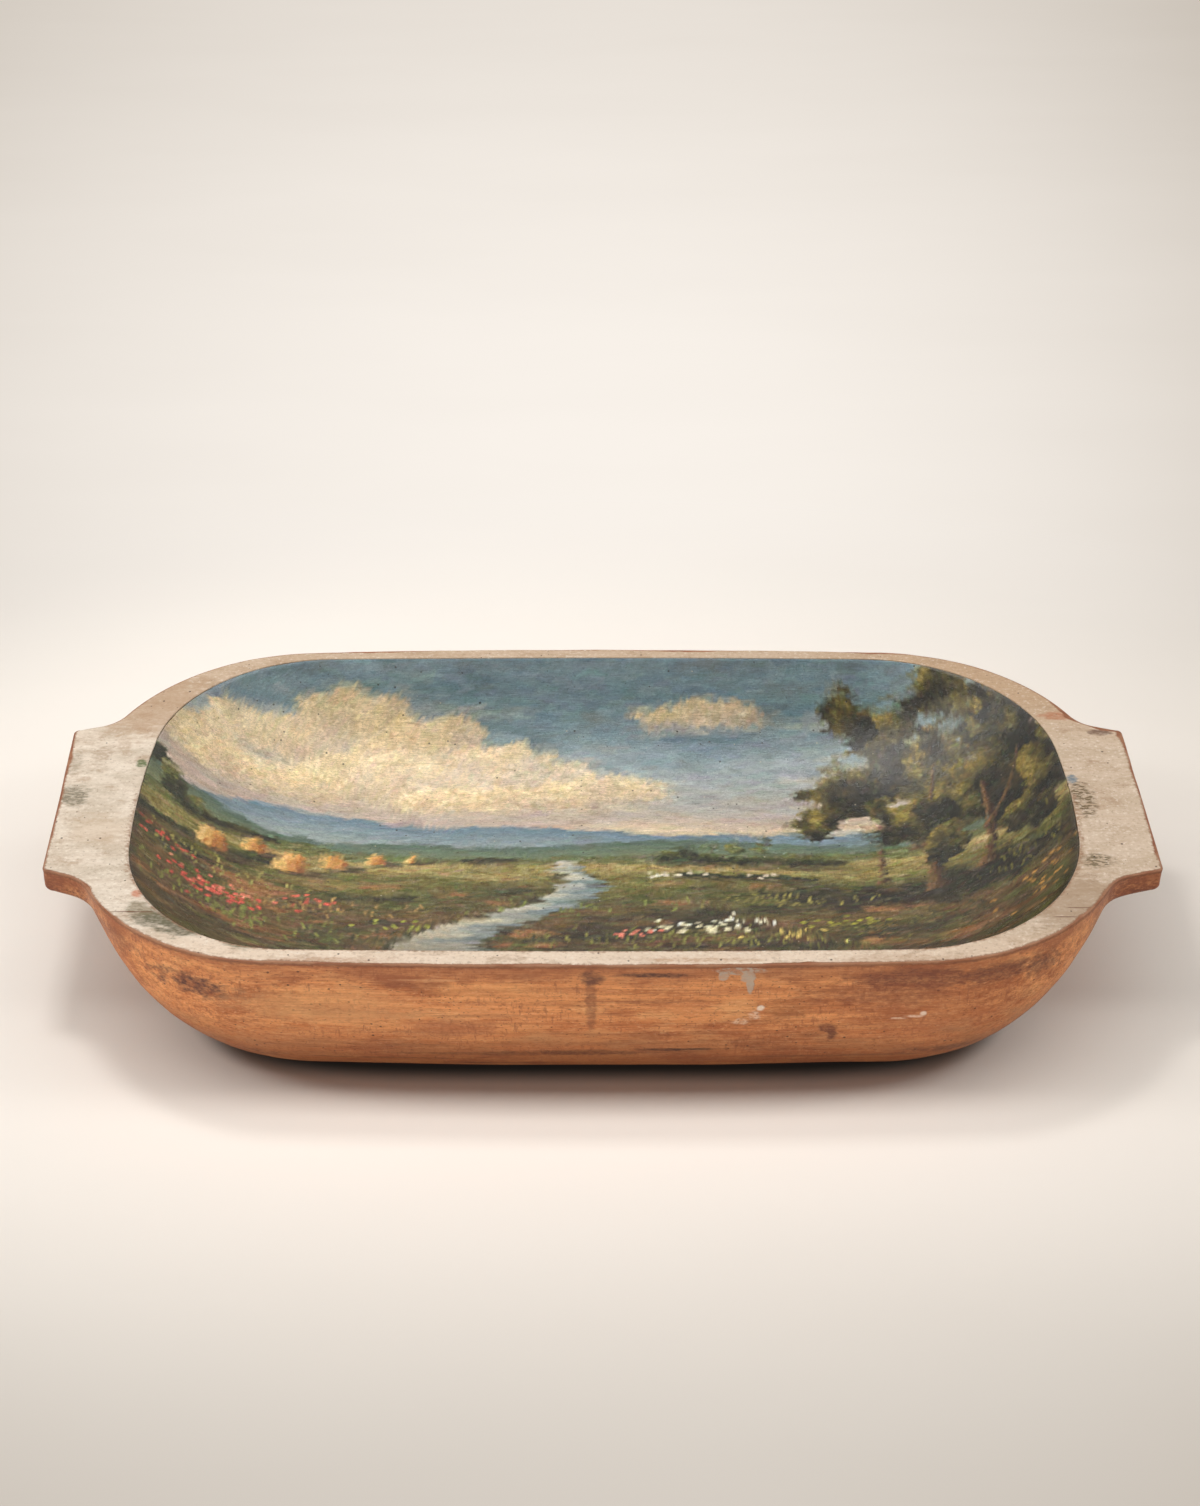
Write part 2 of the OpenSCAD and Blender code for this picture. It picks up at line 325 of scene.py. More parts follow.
def worn_edge(ring):
    """The rim's outer edge, as a quarter circle of the worn radius from the top to the side."""
    worn = worn_radius(ring)
    a = np.radians(np.linspace(90, 0, 5, endpoint=False))[:, None]
    return drawn_in(outside(ring, worn * (1 - np.sin(a)), 1), worn * (1 - np.cos(a)))


def hollow_arris(ring, steps):
    """The edge between the hollow and the flat rim, as a quarter circle. It starts in the hollow."""
    sign_x, sign_y, turn = ring[:3]
    edge = hollow(sign_x, sign_y, turn, 0 * turn, 0)
    a = np.radians(np.linspace(90, 0, steps))[:, None]
    rings = drawn_in(np.repeat(edge[None], steps, 0), -ARRIS_R * (1 - np.sin(a)))
    rings[..., 2] = BOWL_H - ARRIS_R * (1 - np.cos(a))
    return rings


def grid_normals(rings):
    """Outward unit normals of a grid of rings, from the differences between neighbours."""
    round_it = np.roll(rings, -1, axis=1) - np.roll(rings, 1, axis=1)
    down_it = np.gradient(rings, axis=0)
    normal = np.cross(down_it, round_it)
    return normal / np.maximum(np.linalg.norm(normal, axis=-1, keepdims=True), 1e-9)


def ring_faces(rows, count, first=0, closed=False):
    """Four-sided faces between neighbouring rings, outward where rings run anticlockwise from the
    hollow's middle to the foot. A closed set joins its last ring to its first."""
    r = np.arange(rows if closed else rows - 1)[:, None]
    i = np.arange(count)[None]
    a, b = r * count + i, (r + 1) % rows * count + i
    c, d = (r + 1) % rows * count + (i + 1) % count, r * count + (i + 1) % count
    return np.stack([a, b, c, d], -1).reshape(-1, 4) + first


def make_piece(name, points, quads, triangles, replaced, attributes=()):
    """A mesh piece from points in millimetres, riding on the bowl and standing for a CAD node."""
    mesh = bpy.data.meshes.new(name)
    faces = [*quads.tolist(), *triangles.tolist()]
    mesh.from_pydata(points * MM, [], faces)
    mesh.shade_smooth()
    for label, kind, values in attributes:
        layer = mesh.attributes.new(label, kind, "POINT")
        field = "color" if kind == "FLOAT_COLOR" else "value"
        layer.data.foreach_set(field, np.ascontiguousarray(values, np.float32).ravel())
    mesh.update()
    piece = bpy.data.objects.new(name, mesh)
    bpy.context.scene.collection.objects.link(piece)
    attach(piece, "root")
    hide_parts(replaced)
    return piece


def carved_body():
    """The block of wood as one closed surface of rings: out from the middle of the hollow, up its
    walls, over the flat rim and its worn edge, round under the lugs, down the walls to the foot and
    in to the foot's middle."""
    ring = stations(1)
    sign_x, sign_y, turn = ring[:3]
    q = np.sin(np.radians(np.linspace(90, 0, 22, endpoint=False)))[:, None]
    walls_in = hollow(sign_x, sign_y, turn, q, -HOLLOW_SINK)
    middle = np.array([HOLLOW_RIGHT, HOLLOW_BACK, 0])
    centre = middle + [0, 0, walls_in[0, 0, 2]]
    floor_in = centre + (walls_in[0] - centre) * np.array([0.2, 0.4, 0.6, 0.8])[:, None, None]
    arris = hollow_arris(ring, 5)
    edge = worn_edge(ring)
    flat = between(arris[-1], edge[0], np.array([0.25, 0.5, 0.75])[:, None, None])

    worn = worn_radius(ring)
    edge_share = LUG_EDGE_R / (LUG_REACH + LUG_ROOT_T / 2)
    blend_depth = LUG_ROOT_T + LUG_UNDER_BLEND
    under_start = np.array([LUG_TIP_T, 1 - edge_share])
    under_end = between(np.array([LUG_ROOT_T, 0]), under_start, UNDER_BLEND_SHARE)
    u = (np.arange(5) / 5)[:, None]
    upright = outside(ring, between(worn, LUG_TIP_T - LUG_EDGE_R, u), 1)
    a = np.radians(np.linspace(0, 90, 6, endpoint=False))[:, None]
    round_under = outside(
        ring, LUG_TIP_T - LUG_EDGE_R * (1 - np.sin(a)), 1 - edge_share * (1 - np.cos(a))
    )
    under = between(under_start, under_end, (np.arange(8) / 8)[:, None])
    blend = bend(
        under_end, np.array([LUG_ROOT_T, 0]), np.array([blend_depth, 0]), (np.arange(10) / 10)[:, None]
    )
    lower = np.vstack([under, blend])
    a = np.radians(np.linspace(0, 90, 46))
    wall = np.stack([between(blend_depth, BOWL_H, np.sin(a)), 0 * a], -1)
    lower = np.vstack([lower, wall])
    below = outside(ring, lower[:, :1], lower[:, 1:])
    foot = below[-1] * np.array([0.9, 0.7, 0.5, 0.3, 0.1])[:, None, None]

    carved = np.concatenate([edge, upright, round_under, below])
    normal = grid_normals(carved)
    depth = BOWL_H - carved[..., 2]
    tool_marks = np.maximum(0.5 + 0.5 * rough_noise(carved, (70, 26, 26), 3), 0)
    dents = smooth(lattice_noise(carved, (9, 6, 6), 8), 0.55, 1.0)
    fade = smooth(depth, 0, 3) * smooth(depth, BOWL_H, BOWL_H - 6)
    carved = carved - normal * ((HEWN_DEPTH * tool_marks + DENT_DEPTH * dents) * fade)[..., None]

    rings = np.concatenate([floor_in, walls_in, arris, flat, carved, foot])
    rows, count = rings.shape[:2]
    points = np.vstack([rings.reshape(-1, 3), centre, [[0, 0, 0]]])
    i = np.arange(count)
    last = (rows - 1) * count
    inner_cap = np.stack([np.full(count, rows * count), i, (i + 1) % count], -1)
    foot_cap = np.stack([last + i, np.full(count, rows * count + 1), last + (i + 1) % count], -1)
    quads = ring_faces(rows, count)
    return make_piece("carved_body", points, quads, np.vstack([inner_cap, foot_cap]), "bowl_body")


# Where the rim's paint is chipped back to the wood: x, y and radius of each bite, and its depth
CHIPS = [
    (345, 66, 9, 7),
    (338, 73, 6, 5),
    (316, 92, 13, 4),
    (-236, -140, 6, 2.5),
    (-318, -100, 8, 2),
    (120, -174, 14, 1.2),
    (-40, -174, 22, 1.0),
    (-352, 40, 12, 2),
    (352, -60, 9, 1.6),
    (-150, 172, 26, 2.2),
    (60, 174, 30, 2.0),
    (200, 168, 16, 2.2),
]


def rim_coat():
    """The grey paint on the flat rim and lugs: a film that starts ragged behind the worn edge,
    crosses the flat, rolls over the hollow's edge and thins out at both ends."""
    ring = stations(2)
    worn = worn_radius(ring)
    edge = outside(ring, 0, 1)
    ragged = 0.1 + 0.7 * smooth(rough_noise(edge, 13, 21), 0, 1.4)
    for x, y, radius, depth in CHIPS:
        near = np.exp(-((edge[:, 0] - x) ** 2 + (edge[:, 1] - y) ** 2) / radius**2)
        ragged += depth * near * (0.8 + 0.4 * lattice_noise(edge, 3.5, 5))
    start = drawn_in(edge, worn + np.maximum(ragged, 0.2))
    arris = hollow_arris(ring, 7)[::-1]
    width = np.linalg.norm(arris[0] - start, axis=-1)
    near_edge = np.array([0, 0.25, 0.8, 2.0])
    shares = np.linspace(0, 1, 9, endpoint=False)[1:]
    reach = np.vstack(
        [np.repeat(near_edge[:, None], len(width), 1), between(near_edge[-1], width, shares[:, None])]
    )
    flat = start + (arris[0] - start) * (reach / width)[..., None]
    path = np.concatenate([flat, arris])
    turned = np.radians(np.concatenate([np.zeros(len(flat)), np.linspace(0, 90, len(arris))]))
    inward = drawn_in(arris[0], 1) - arris[0]
    normal = inward * np.sin(turned)[:, None, None] + np.array([0, 0, 1]) * np.cos(turned)[:, None, None]
    thick = np.ones(len(path))
    thick[:3] = 0.12, 0.6, 0.92
    thick[-3:] = 0.8, 0.5, 0.1
    uneven = 0.86 + 0.13 * np.clip(rough_noise(path, 7, 31), -1, 1)
    top = path + normal * (RIM_PAINT_T * thick[:, None] * uneven)[..., None]
    under = (path - normal * 0.06)[[-1, len(flat), 4, 0]]
    rings = np.concatenate([top[::-1], under[::-1]])
    rows, count = rings.shape[:2]
    faces = ring_faces(rows, count, closed=True)
    outer = smooth(np.linalg.norm(path[:, :, :2] - start[:, :2], axis=-1), 2.4, 0)
    inner = 0.8 * smooth(np.linalg.norm(path - arris[0], axis=-1), 2.2, 0) * (path[..., 1:2].max(-1) < 0)
    grime = np.maximum(outer, inner)
    grime = np.concatenate([grime[::-1], np.zeros((len(under), grime.shape[1]))])
    return make_piece(
        "rim_coat", rings.reshape(-1, 3), faces, np.zeros((0, 3), int), "rim_paint",
        [("edge", "FLOAT", grime)],
    )


# Hollow surface under the picture

GRID_LONG, GRID_WIDE = 400, 200
FLOOR_SHARE = 0.3


def hollow_directions():
    """Signs and normal angle for each step of the way round the hollow's rim, with the step's
    length, so that a place can be found by its distance along the rim."""
    turn = np.concatenate([np.linspace(0, 0.2, 60), np.linspace(0.2, 1.5, 160)[1:]])
    turn = np.concatenate([turn, np.linspace(1.5, math.pi / 2, 120)[1:]])
    way = np.concatenate([turn, math.pi - turn[-2::-1], math.pi + turn[1:], 2 * math.pi - turn[-2::-1]])
    sign_x, sign_y, folded = folded_turn(way)
    rim = hollow(sign_x, sign_y, folded, 0 * way, 0)
    step = np.linalg.norm(np.diff(rim[:, :2], axis=0), axis=1)
    return way, np.concatenate([[0], np.cumsum(step)])


def folded_turn(way):
    """A full angle as the signs of its quarter and the normal's angle within it."""
    way = way % (2 * math.pi)
    sign_x = np.where((way > math.pi / 2) & (way < 1.5 * math.pi), -1.0, 1.0)
    sign_y = np.where(way > math.pi, -1.0, 1.0)
    return sign_x, sign_y, np.arcsin(np.clip(np.abs(np.sin(way)), 0, 1))


def rim_way(s, t):
    """The full angle for a place on a square from -1 to 1: the share of the square's side is the
    share of the rim's length between two corners."""
    way, distance = hollow_directions()
    corners = np.interp(np.radians([45, 135, 225, 315]), way, distance)
    s_leads = np.abs(s) >= np.abs(t)
    safe_s, safe_t = np.where(s == 0, 1, s), np.where(t == 0, 1, t)
    side = np.select(
        [s_leads & (s > 0), ~s_leads & (t > 0), s_leads & (s < 0)],
        [t / safe_s, 2 - s / safe_t, 4 + t / safe_s],
        6 - s / safe_t,
    )
    total = distance[-1]
    stops = [corners[3] - total, *corners, corners[0] + total]
    place = np.interp(side, [-1, 1, 3, 5, 7, 9], stops)
    return np.interp(place % total, distance, way)


def path_shares(turn):
    """Depth shares from the rim to the level floor at even steps of a middling wall's path."""
    q = 1 - np.linspace(1, 0, 1500) ** 4
    out = wall_share(q, turn, HOLLOW_POWERS)
    step = np.hypot(np.diff(out) * 0.5 * (HOLLOW_END_LEAN + HOLLOW_SIDE_LEAN), np.diff(q) * HOLLOW_DEPTH)
    path = np.concatenate([[0], np.cumsum(step)])
    return q, path / path[-1]


def hollow_grid():
    """Places on the hollow from a grid on a square. The larger of |s| and |t| steps down the wall
    to the level floor and then in to its middle, and their ratio steps round the rim."""
    s, t = np.meshgrid(np.linspace(-1, 1, GRID_LONG + 1), np.linspace(-1, 1, GRID_WIDE + 1))
    s, t = s.ravel(), t.ravel()
    out = np.maximum(np.abs(s), np.abs(t))
    way = rim_way(s, t)
    sign_x, sign_y, turn = folded_turn(way)
    q_table, path_table = path_shares(math.pi / 4)
    down = np.clip((1 - out) / (1 - FLOOR_SHARE), 0, 1)
    q = np.interp(down, path_table, q_table)
    return out, sign_x, sign_y, turn, q


def unfolded(sign_x, sign_y, turn, q, out):
    """Places on the hollow laid out flat, as a painter sees them: beyond the level floor, the
    distance is the length of the wall's path and not its plan."""
    floor = hollow(sign_x, sign_y, turn, 0 * q + 1, 0)[..., :2]
    rim = hollow(sign_x, sign_y, turn, 0 * q, 0)[..., :2]
    lean = np.linalg.norm(rim - floor, axis=-1)
    shares = np.linspace(0, 1, 25)[:, None] ** 4
    depth = 1 - (1 - q) * shares
    run = wall_share(depth, turn, HOLLOW_POWERS) * lean
    path = np.hypot(np.diff(run, axis=0), np.diff(depth, axis=0) * HOLLOW_DEPTH).sum(0)
    flat = floor + (rim - floor) / lean[:, None] * path[:, None]
    middle = np.array([HOLLOW_RIGHT, HOLLOW_BACK])
    inside = middle + (floor - middle) * np.clip(out / FLOOR_SHARE, 0, 1)[:, None]
    return np.where((out < FLOOR_SHARE)[:, None], inside, flat)


# The picture: a made-up river valley, painted stroke by stroke on a flat canvas in millimetres

CANVAS_LOW = np.array([-372.0, -250.0])
CANVAS_HIGH = np.array([378.0, 252.0])
CANVAS_STEP = 0.9
CRISPNESS = 0.7
HORIZON = 34.0

# Kinds of brushwork: stroke length, width, angle and spread of the angle, and spread of colour
SKY, CLOUD, HILL, GROUND, LEAVES, WATER, SHEAF = range(7)
BRUSHES = {
    SKY: (24, 6, 0, 0.18, 0.026),
    CLOUD: (11, 5.5, 0.3, 0.9, 0.028),
    HILL: (18, 4.5, 0, 0.22, 0.022),
    GROUND: (15, 3.6, 0, 0.3, 0.050),
    LEAVES: (7, 4, 0.6, 1.5, 0.045),
    WATER: (20, 3.5, 0, 0.08, 0.022),
    SHEAF: (9, 2.6, 1.4, 0.35, 0.045),
}


def rgb(*levels):
    """A colour, or several, from levels up to 255, as shares."""
    return np.array(levels, float) / 255


def blend_tones(value, stops, tones):
    """Colours at the values given, blended between tones in levels that stand at the stops."""
    tones = rgb(*tones)
    return np.stack([np.interp(value, stops, tones[:, channel]) for channel in range(3)], -1)


def nearest(places):
    """Column and row of the canvas point nearest to each place."""
    return np.rint((places - CANVAS_LOW) / CANVAS_STEP).astype(int)


class Canvas:
    """A grid of points in millimetres with their colours, relief and kinds of brushwork."""

    def __init__(self):
        columns, rows = (
            np.arange(low, high, CANVAS_STEP) for low, high in zip(CANVAS_LOW, CANVAS_HIGH)
        )
        self.x, self.y = np.meshgrid(columns, rows)
        self.spots = np.stack([self.x, self.y], -1)
        self.colour = np.zeros(self.spots.shape[:2] + (3,))
        self.relief = np.full(self.x.shape, 0.3)
        self.kinds = np.full(self.x.shape, SKY)

    def noise(self, cell, seed, octaves=3):
        return rough_noise(self.spots, cell, seed, octaves)

    def lay(self, cover, colour, kind):
        """Lays a colour or a tone in levels where cover is 1, and notes its kind of brushwork."""
        colour = rgb(*colour) if isinstance(colour, tuple) else colour
        self.colour += (colour - self.colour) * cover[..., None]
        self.kinds[cover > 0.5] = kind

    def brush(self, places, tones, length, width, angle, load, seed):
        """Lays a stroke at each place. It covers where (along / half length)^4 plus (across / half
        width)^2 is under 1, less between its hairs, and leaves a ridge of paint in the relief."""
        half = int(np.ceil((length / 2 + 1.5) / CANVAS_STEP))
        reach = np.arange(-half, half + 1)
        centre = nearest(places)
        edge = np.array(self.x.shape[::-1]) - half - 1
        kept = ((centre > half) & (centre < edge)).all(1)
        centre, places, tones, angle = centre[kept], places[kept], tones[kept], angle[kept]
        offset = (centre[:, None] + reach[:, None]) * CANVAS_STEP + CANVAS_LOW - places[:, None]
        dx, dy = offset[:, None, :, 0], offset[:, :, None, 1]
        cos, sin = np.cos(angle)[:, None, None], np.sin(angle)[:, None, None]
        along = (dx * cos + dy * sin) / (length / 2)
        across = (dy * cos - dx * sin) / (width / 2)
        body = np.clip(1.8 * (1 - along**4 - across**2), 0, 1)
        phase = np.random.default_rng(seed).uniform(0, 6.28, len(places))[:, None, None]
        hairs = 0.5 + 0.5 * np.sin(across * 8 + 1.5 * along + phase)
        cover = load * body * (0.72 + 0.28 * hairs)
        ridge_line = body * (0.35 + 0.4 * hairs + 0.25 * across**2)
        for (c, r), shade, paint, height in zip(centre, tones, cover, ridge_line):
            window = np.s_[r - half : r + half + 1, c - half : c + half + 1]
            self.colour[window] += (shade - self.colour[window]) * paint[..., None]
            self.relief[window] += (height - self.relief[window]) * paint

    def repaint(self, kind, gap, size, load, seed):
        """Goes over one kind of brushwork with strokes about gap apart, in the canvas's colours."""
        length, width, lean, spread, colour_spread = BRUSHES[kind]
        draw = np.random.default_rng(seed)
        rows, columns = np.nonzero(self.kinds == kind)
        count = int(len(rows) * CANVAS_STEP**2 / gap**2)
        pick = draw.integers(0, len(rows), count)
        picked = rows[pick], columns[pick]
        tones = self.colour[picked] + draw.normal(0, colour_spread, (count, 1))
        tones += draw.normal(0, colour_spread * 0.35, (count, 3))
        angle = lean + draw.normal(0, spread, count)
        self.brush(self.spots[picked], tones, length * size, width * size, angle, load, seed + 1)

    def strew(self, draw, drift, spread, lean, sway, load, seed):
        """Strews strokes over a drift and keeps those that stand off the water."""
        at_x, at_y, half_len, half_high, count, length, width, level = drift
        places = draw.normal(0, 0.5, (count, 2)) * [half_len, half_high] + [at_x, at_y]
        tones = rgb(*level) * draw.normal(1, spread, (count, 1))
        angle = draw.normal(lean, sway, count)
        column, row = np.clip(nearest(places), 0, np.array(self.x.shape[::-1]) - 1).T
        dry = self.kinds[row, column] != WATER
        self.brush(places[dry], tones[dry], length, width, angle[dry], load, seed)


def paint_sky(view):
    """The sky from rose at the horizon to slate blue at the back rim, with drifting streaks."""
    height = (view.y + 10 * view.noise((120, 40), 41) - HORIZON) / (CANVAS_HIGH[1] - HORIZON)
    tones = [(222, 199, 164), (196, 176, 160), (160, 165, 162), (122, 144, 151), (98, 124, 136)]
    view.colour[:] = blend_tones(height, [0, 0.12, 0.3, 0.52, 1], tones)
    streaks = smooth(view.noise((95, 17), 42), 0.05, 0.9) * smooth(height, 0.25, 0.55)
    view.lay(0.65 * streaks, (84, 110, 124), SKY)
    glow = smooth(view.noise((80, 13), 43), 0.35, 1.0) * smooth(height, 0.7, 0.35)
    view.lay(0.5 * glow, (224, 203, 168), SKY)


# Puffs of cloud: x, y, half length and half height
PUFFS = [
    (-236, 118, 58, 26), (-300, 92, 60, 24), (-176, 136, 50, 30), (-118, 122, 56, 34),
    (-56, 108, 54, 26), (-150, 96, 82, 30), (-228, 84, 86, 22), (8, 92, 56, 18),
    (-70, 82, 90, 18), (78, 152, 54, 15),
]


def paint_clouds(view):
    """Heaped clouds: each puff is an oval with a ragged edge, cream above and mauve below."""
    ragged = view.noise(24, 51, 4)
    tones = [(172, 156, 146), (208, 184, 152), (234, 206, 156), (242, 219, 174)]
    for puff_x, puff_y, half_len, half_high in PUFFS:
        across, up = (view.x - puff_x) / half_len, (view.y - puff_y) / half_high
        away = np.hypot(across, up) + 0.2 * ragged
        cover = smooth(away, 1.02, 0.86) * smooth(up, -1.0, -0.1)
        light = np.clip(0.52 + 0.42 * up - 0.22 * across + 0.22 * ragged, 0, 1)
        view.lay(0.92 * cover, blend_tones(light, [0, 0.4, 0.75, 1], tones), CLOUD)


# Hill lines: how far the base lies below the horizon, raggedness, softness, how far down the tones
# blend, kind of brushwork, the two tones, and x, width and height of each hump
HILL_LINES = [
    (0, 1.2, 1.2, 26, HILL, [(104, 128, 143), (150, 160, 158)],
     [(-210, 90, 30), (-40, 110, 22), (150, 80, 14), (330, 90, 26)]),
    (6, 1.6, 1.2, 22, HILL, [(84, 104, 92), (128, 136, 98)],
     [(-320, 90, 26), (-130, 70, 8), (60, 100, 14), (300, 120, 10)]),
    (15, 1.6, 1.0, 18, GROUND, [(92, 98, 56), (140, 132, 76)],
     [(-250, 120, 12), (0, 60, 4), (240, 160, 8)]),
]


def paint_hills(view):
    """Three hill lines, from a misty blue far one to an olive near one. Each is a base with a bell
    curve of given x, width and height for each hump."""
    ragged = view.noise((22, 9), 61)
    for below, rough, soft, deep, kind, tones, humps in HILL_LINES:
        bells = sum(high * np.exp(-(((view.x - at) / wide) ** 2)) for at, wide, high in humps)
        crest = HORIZON - below + bells
        colour = blend_tones((crest - view.y) / deep, [0, 1], tones)
        view.lay(smooth(view.y - crest - rough * ragged, soft, -soft), colour, kind)


def paint_meadow(view):
    """The valley floor: pale stubble far off, then olive grass, warm earth and a dark front."""
    y = view.y
    ragged = view.noise((60, 10), 71)
    tones = [
        (34, 32, 20), (52, 46, 27), (78, 62, 36), (104, 80, 46),
        (86, 82, 42), (122, 112, 58), (172, 150, 92),
    ]
    ground = blend_tones(y + 7 * ragged, [-230, -120, -70, -42, -22, -2, 14], tones)
    view.lay(smooth(y - 2.5 * ragged, 19, 13), ground, GROUND)
    front = smooth(y, -34, -70)
    for cell, seed, low, high, within, strength, over in (
        ((46, 9), 72, 0.3, 0.8, smooth(y, 4, -16) * smooth(y, -110, -70), 0.8, (168, 112, 68)),
        ((34, 10), 73, 0.3, 0.9, smooth(y, 12, -8), 0.55, (78, 86, 34)),
        ((26, 8), 75, 0.15, 0.8, front, 0.75, (120, 78, 42)),
        ((20, 9), 76, 0.2, 0.8, front, 0.6, (92, 90, 40)),
        ((70, 12), 74, 0.25, 0.9, smooth(y, 6, -20), 0.7, (40, 38, 26)),
    ):
        view.lay(strength * smooth(view.noise(cell, seed), low, high) * within, over, GROUND)


def paint_river(view):
    """A river that swings from the hills to the front rim and widens on its way."""
    x, y = view.x, view.y
    down = np.clip((HORIZON - 14 - y) / 120, 0, 2)
    middle = -30 + 46 * np.sin(down * 6.0 + 0.4) * (0.3 + down) - 30 * down
    half = 5 + 30 * down
    away = np.abs(x - middle) / half + 0.18 * view.noise((26, 6), 81)
    reach = smooth(y, HORIZON - 13, HORIZON - 17)
    view.lay(smooth(away, 1.32, 1.12) * reach, (58, 54, 32), GROUND)
    gleam = np.clip(0.5 - 0.5 * (x - middle) / half + 0.4 * view.noise((40, 5), 82), 0, 1)
    dusk = 1 - 0.45 * smooth(y, -30, -120)
    water = blend_tones(gleam, [0, 0.5, 1], [(120, 134, 134), (176, 178, 166), (214, 200, 170)])
    view.lay(smooth(away, 1.06, 0.94) * reach, water * dusk[..., None], WATER)


# Sheaves in the left field, the farthest first: x, y of the foot, half width and height
SHEAVES = [
    (-126, 16, 6, 9), (-150, 14, 8, 12), (-232, 10, 10, 15),
    (-178, 7, 11, 17), (-206, -2, 13, 21), (-262, -4, 14, 22),
]


def paint_sheaves(view):
    """Sheaves of corn: domes of straw, lit from the left, each with a shadow to its right."""
    grain = view.noise((2.5, 8), 91)
    tones = [(96, 56, 34), (176, 112, 56), (218, 162, 88), (234, 190, 118)]
    for at_x, at_y, half, high in SHEAVES:
        across, up = (view.x - at_x) / half, (view.y - at_y) / high
        shadow = np.hypot((view.x - at_x - half * 0.9) / (half * 1.5), (view.y - at_y) / (high * 0.22))
        view.lay(0.8 * smooth(shadow, 1.1, 0.7), (58, 46, 30), GROUND)
        dome = np.sqrt(np.clip(1 - np.abs(across) ** 2.4, 0, 1))
        cover = smooth(np.abs(across), 1.0, 0.9) * smooth(up, -0.06, 0.04)
        cover *= smooth(up - dome, 0.06, -0.06)
        light = np.clip(0.55 - 0.5 * across + 0.3 * up + 0.15 * grain, 0, 1)
        view.lay(cover, blend_tones(light, [0, 0.4, 0.75, 1], tones), SHEAF)


# Hedges: x of both ends, y of the foot at both ends and height
HEDGES = [
    (30, 172, 20, 12, 9), (-96, -52, 18, 19, 6), (-300, -212, 22, 27, 8),
    (-340, -196, -10, 4, 7), (44, 150, 3, -3, 5),
]


def paint_hedges(view):
    """Field hedges: ragged dark bands with sunlit tops, each with a thin shadow."""
    ragged = view.noise((13, 7), 95, 3)
    tones = [(34, 36, 24), (56, 60, 32), (104, 104, 50)]
    for left, right, left_y, right_y, high in HEDGES:
        foot = np.interp(view.x, [left, right], [left_y, right_y])
        half = (right - left) / 2
        ends = smooth(np.abs(view.x - (left + right) / 2), half, half - 12)
        up = (view.y - foot) / (high * (0.55 + 0.45 * ends) * (1 + 0.45 * ragged))
        shadow = smooth(up, -0.9, -0.3) * smooth(up, 0.4, 0.1) * ends
        view.lay(0.6 * shadow, (52, 48, 30), GROUND)
        cover = smooth(up, -0.1, 0.05) * smooth(up, 1.06, 0.92) * smooth(ends, 0.02, 0.3)
        view.lay(cover, blend_tones(up + 0.3 * ragged, [0.1, 0.6, 1.1], tones), LEAVES)


# Masses of leaves: x, y and radius, the rear ones first
CROWNS = [
    (318, 64, 44), (292, 118, 46), (262, 150, 34), (300, 30, 34), (232, 96, 44), (262, 62, 42),
    (204, 128, 34), (176, 86, 34), (216, 52, 30), (150, 60, 22), (238, 24, 20), (182, 148, 22),
]
# How many of them lie behind the trunks
REAR_CROWNS = 6
# Far trees: x, y and radius
FAR_TREES = [
    (-326, 56, 20), (-300, 40, 15), (-338, 26, 22), (-276, 32, 9),
    (76, 34, 8), (92, 32, 10), (110, 34, 12), (62, 31, 6),
]
# Trunks and branches: x and y of the foot and of the top, and the width at the foot
TRUNKS = [
    (226, -22, 214, 60, 11), (262, -14, 268, 70, 9), (190, -8, 184, 70, 5),
    (218, 20, 176, 74, 4), (264, 22, 300, 84, 4), (214, 36, 236, 100, 4),
]


def paint_masses(view, ragged, crowns, tones):
    """Masses of leaves: each is a ragged circle, lit from above on its left."""
    for at_x, at_y, radius in crowns:
        across, up = (view.x - at_x) / radius, (view.y - at_y) / radius
        away = np.hypot(across, up) + 0.34 * ragged
        light = np.clip(0.4 + 0.42 * up - 0.34 * across + 0.5 * ragged, 0, 1)
        view.lay(smooth(away, 1.02, 0.86), blend_tones(light, [0, 0.35, 0.7, 1], tones), LEAVES)


def paint_trunk(view, foot_x, foot_y, top_x, top_y, wide):
    """A trunk or branch: a bowed band that tapers and flares at its foot, lit on its left."""
    run = np.array([top_x - foot_x, top_y - foot_y], float)
    from_x, from_y = view.x - foot_x, view.y - foot_y
    along = (from_x * run[0] + from_y * run[1]) / (run @ run)
    bow = 4 * np.sin(np.clip(along, 0, 1) * math.pi)
    off = (from_x * run[1] - from_y * run[0]) / np.linalg.norm(run) - bow
    half = wide / 2 * (1.25 - 0.75 * np.clip(along, 0, 1)) * (1 + 0.9 * np.exp(-along * 16))
    ends = smooth(along, -0.03, 0.01) * smooth(along, 1.02, 0.97)
    bark = blend_tones(off / half, [-1, 0, 1], [(140, 104, 66), (82, 58, 38), (38, 29, 22)])
    view.lay(smooth(np.abs(off) - half, 0.9, -0.9) * ends, bark, SHEAF)


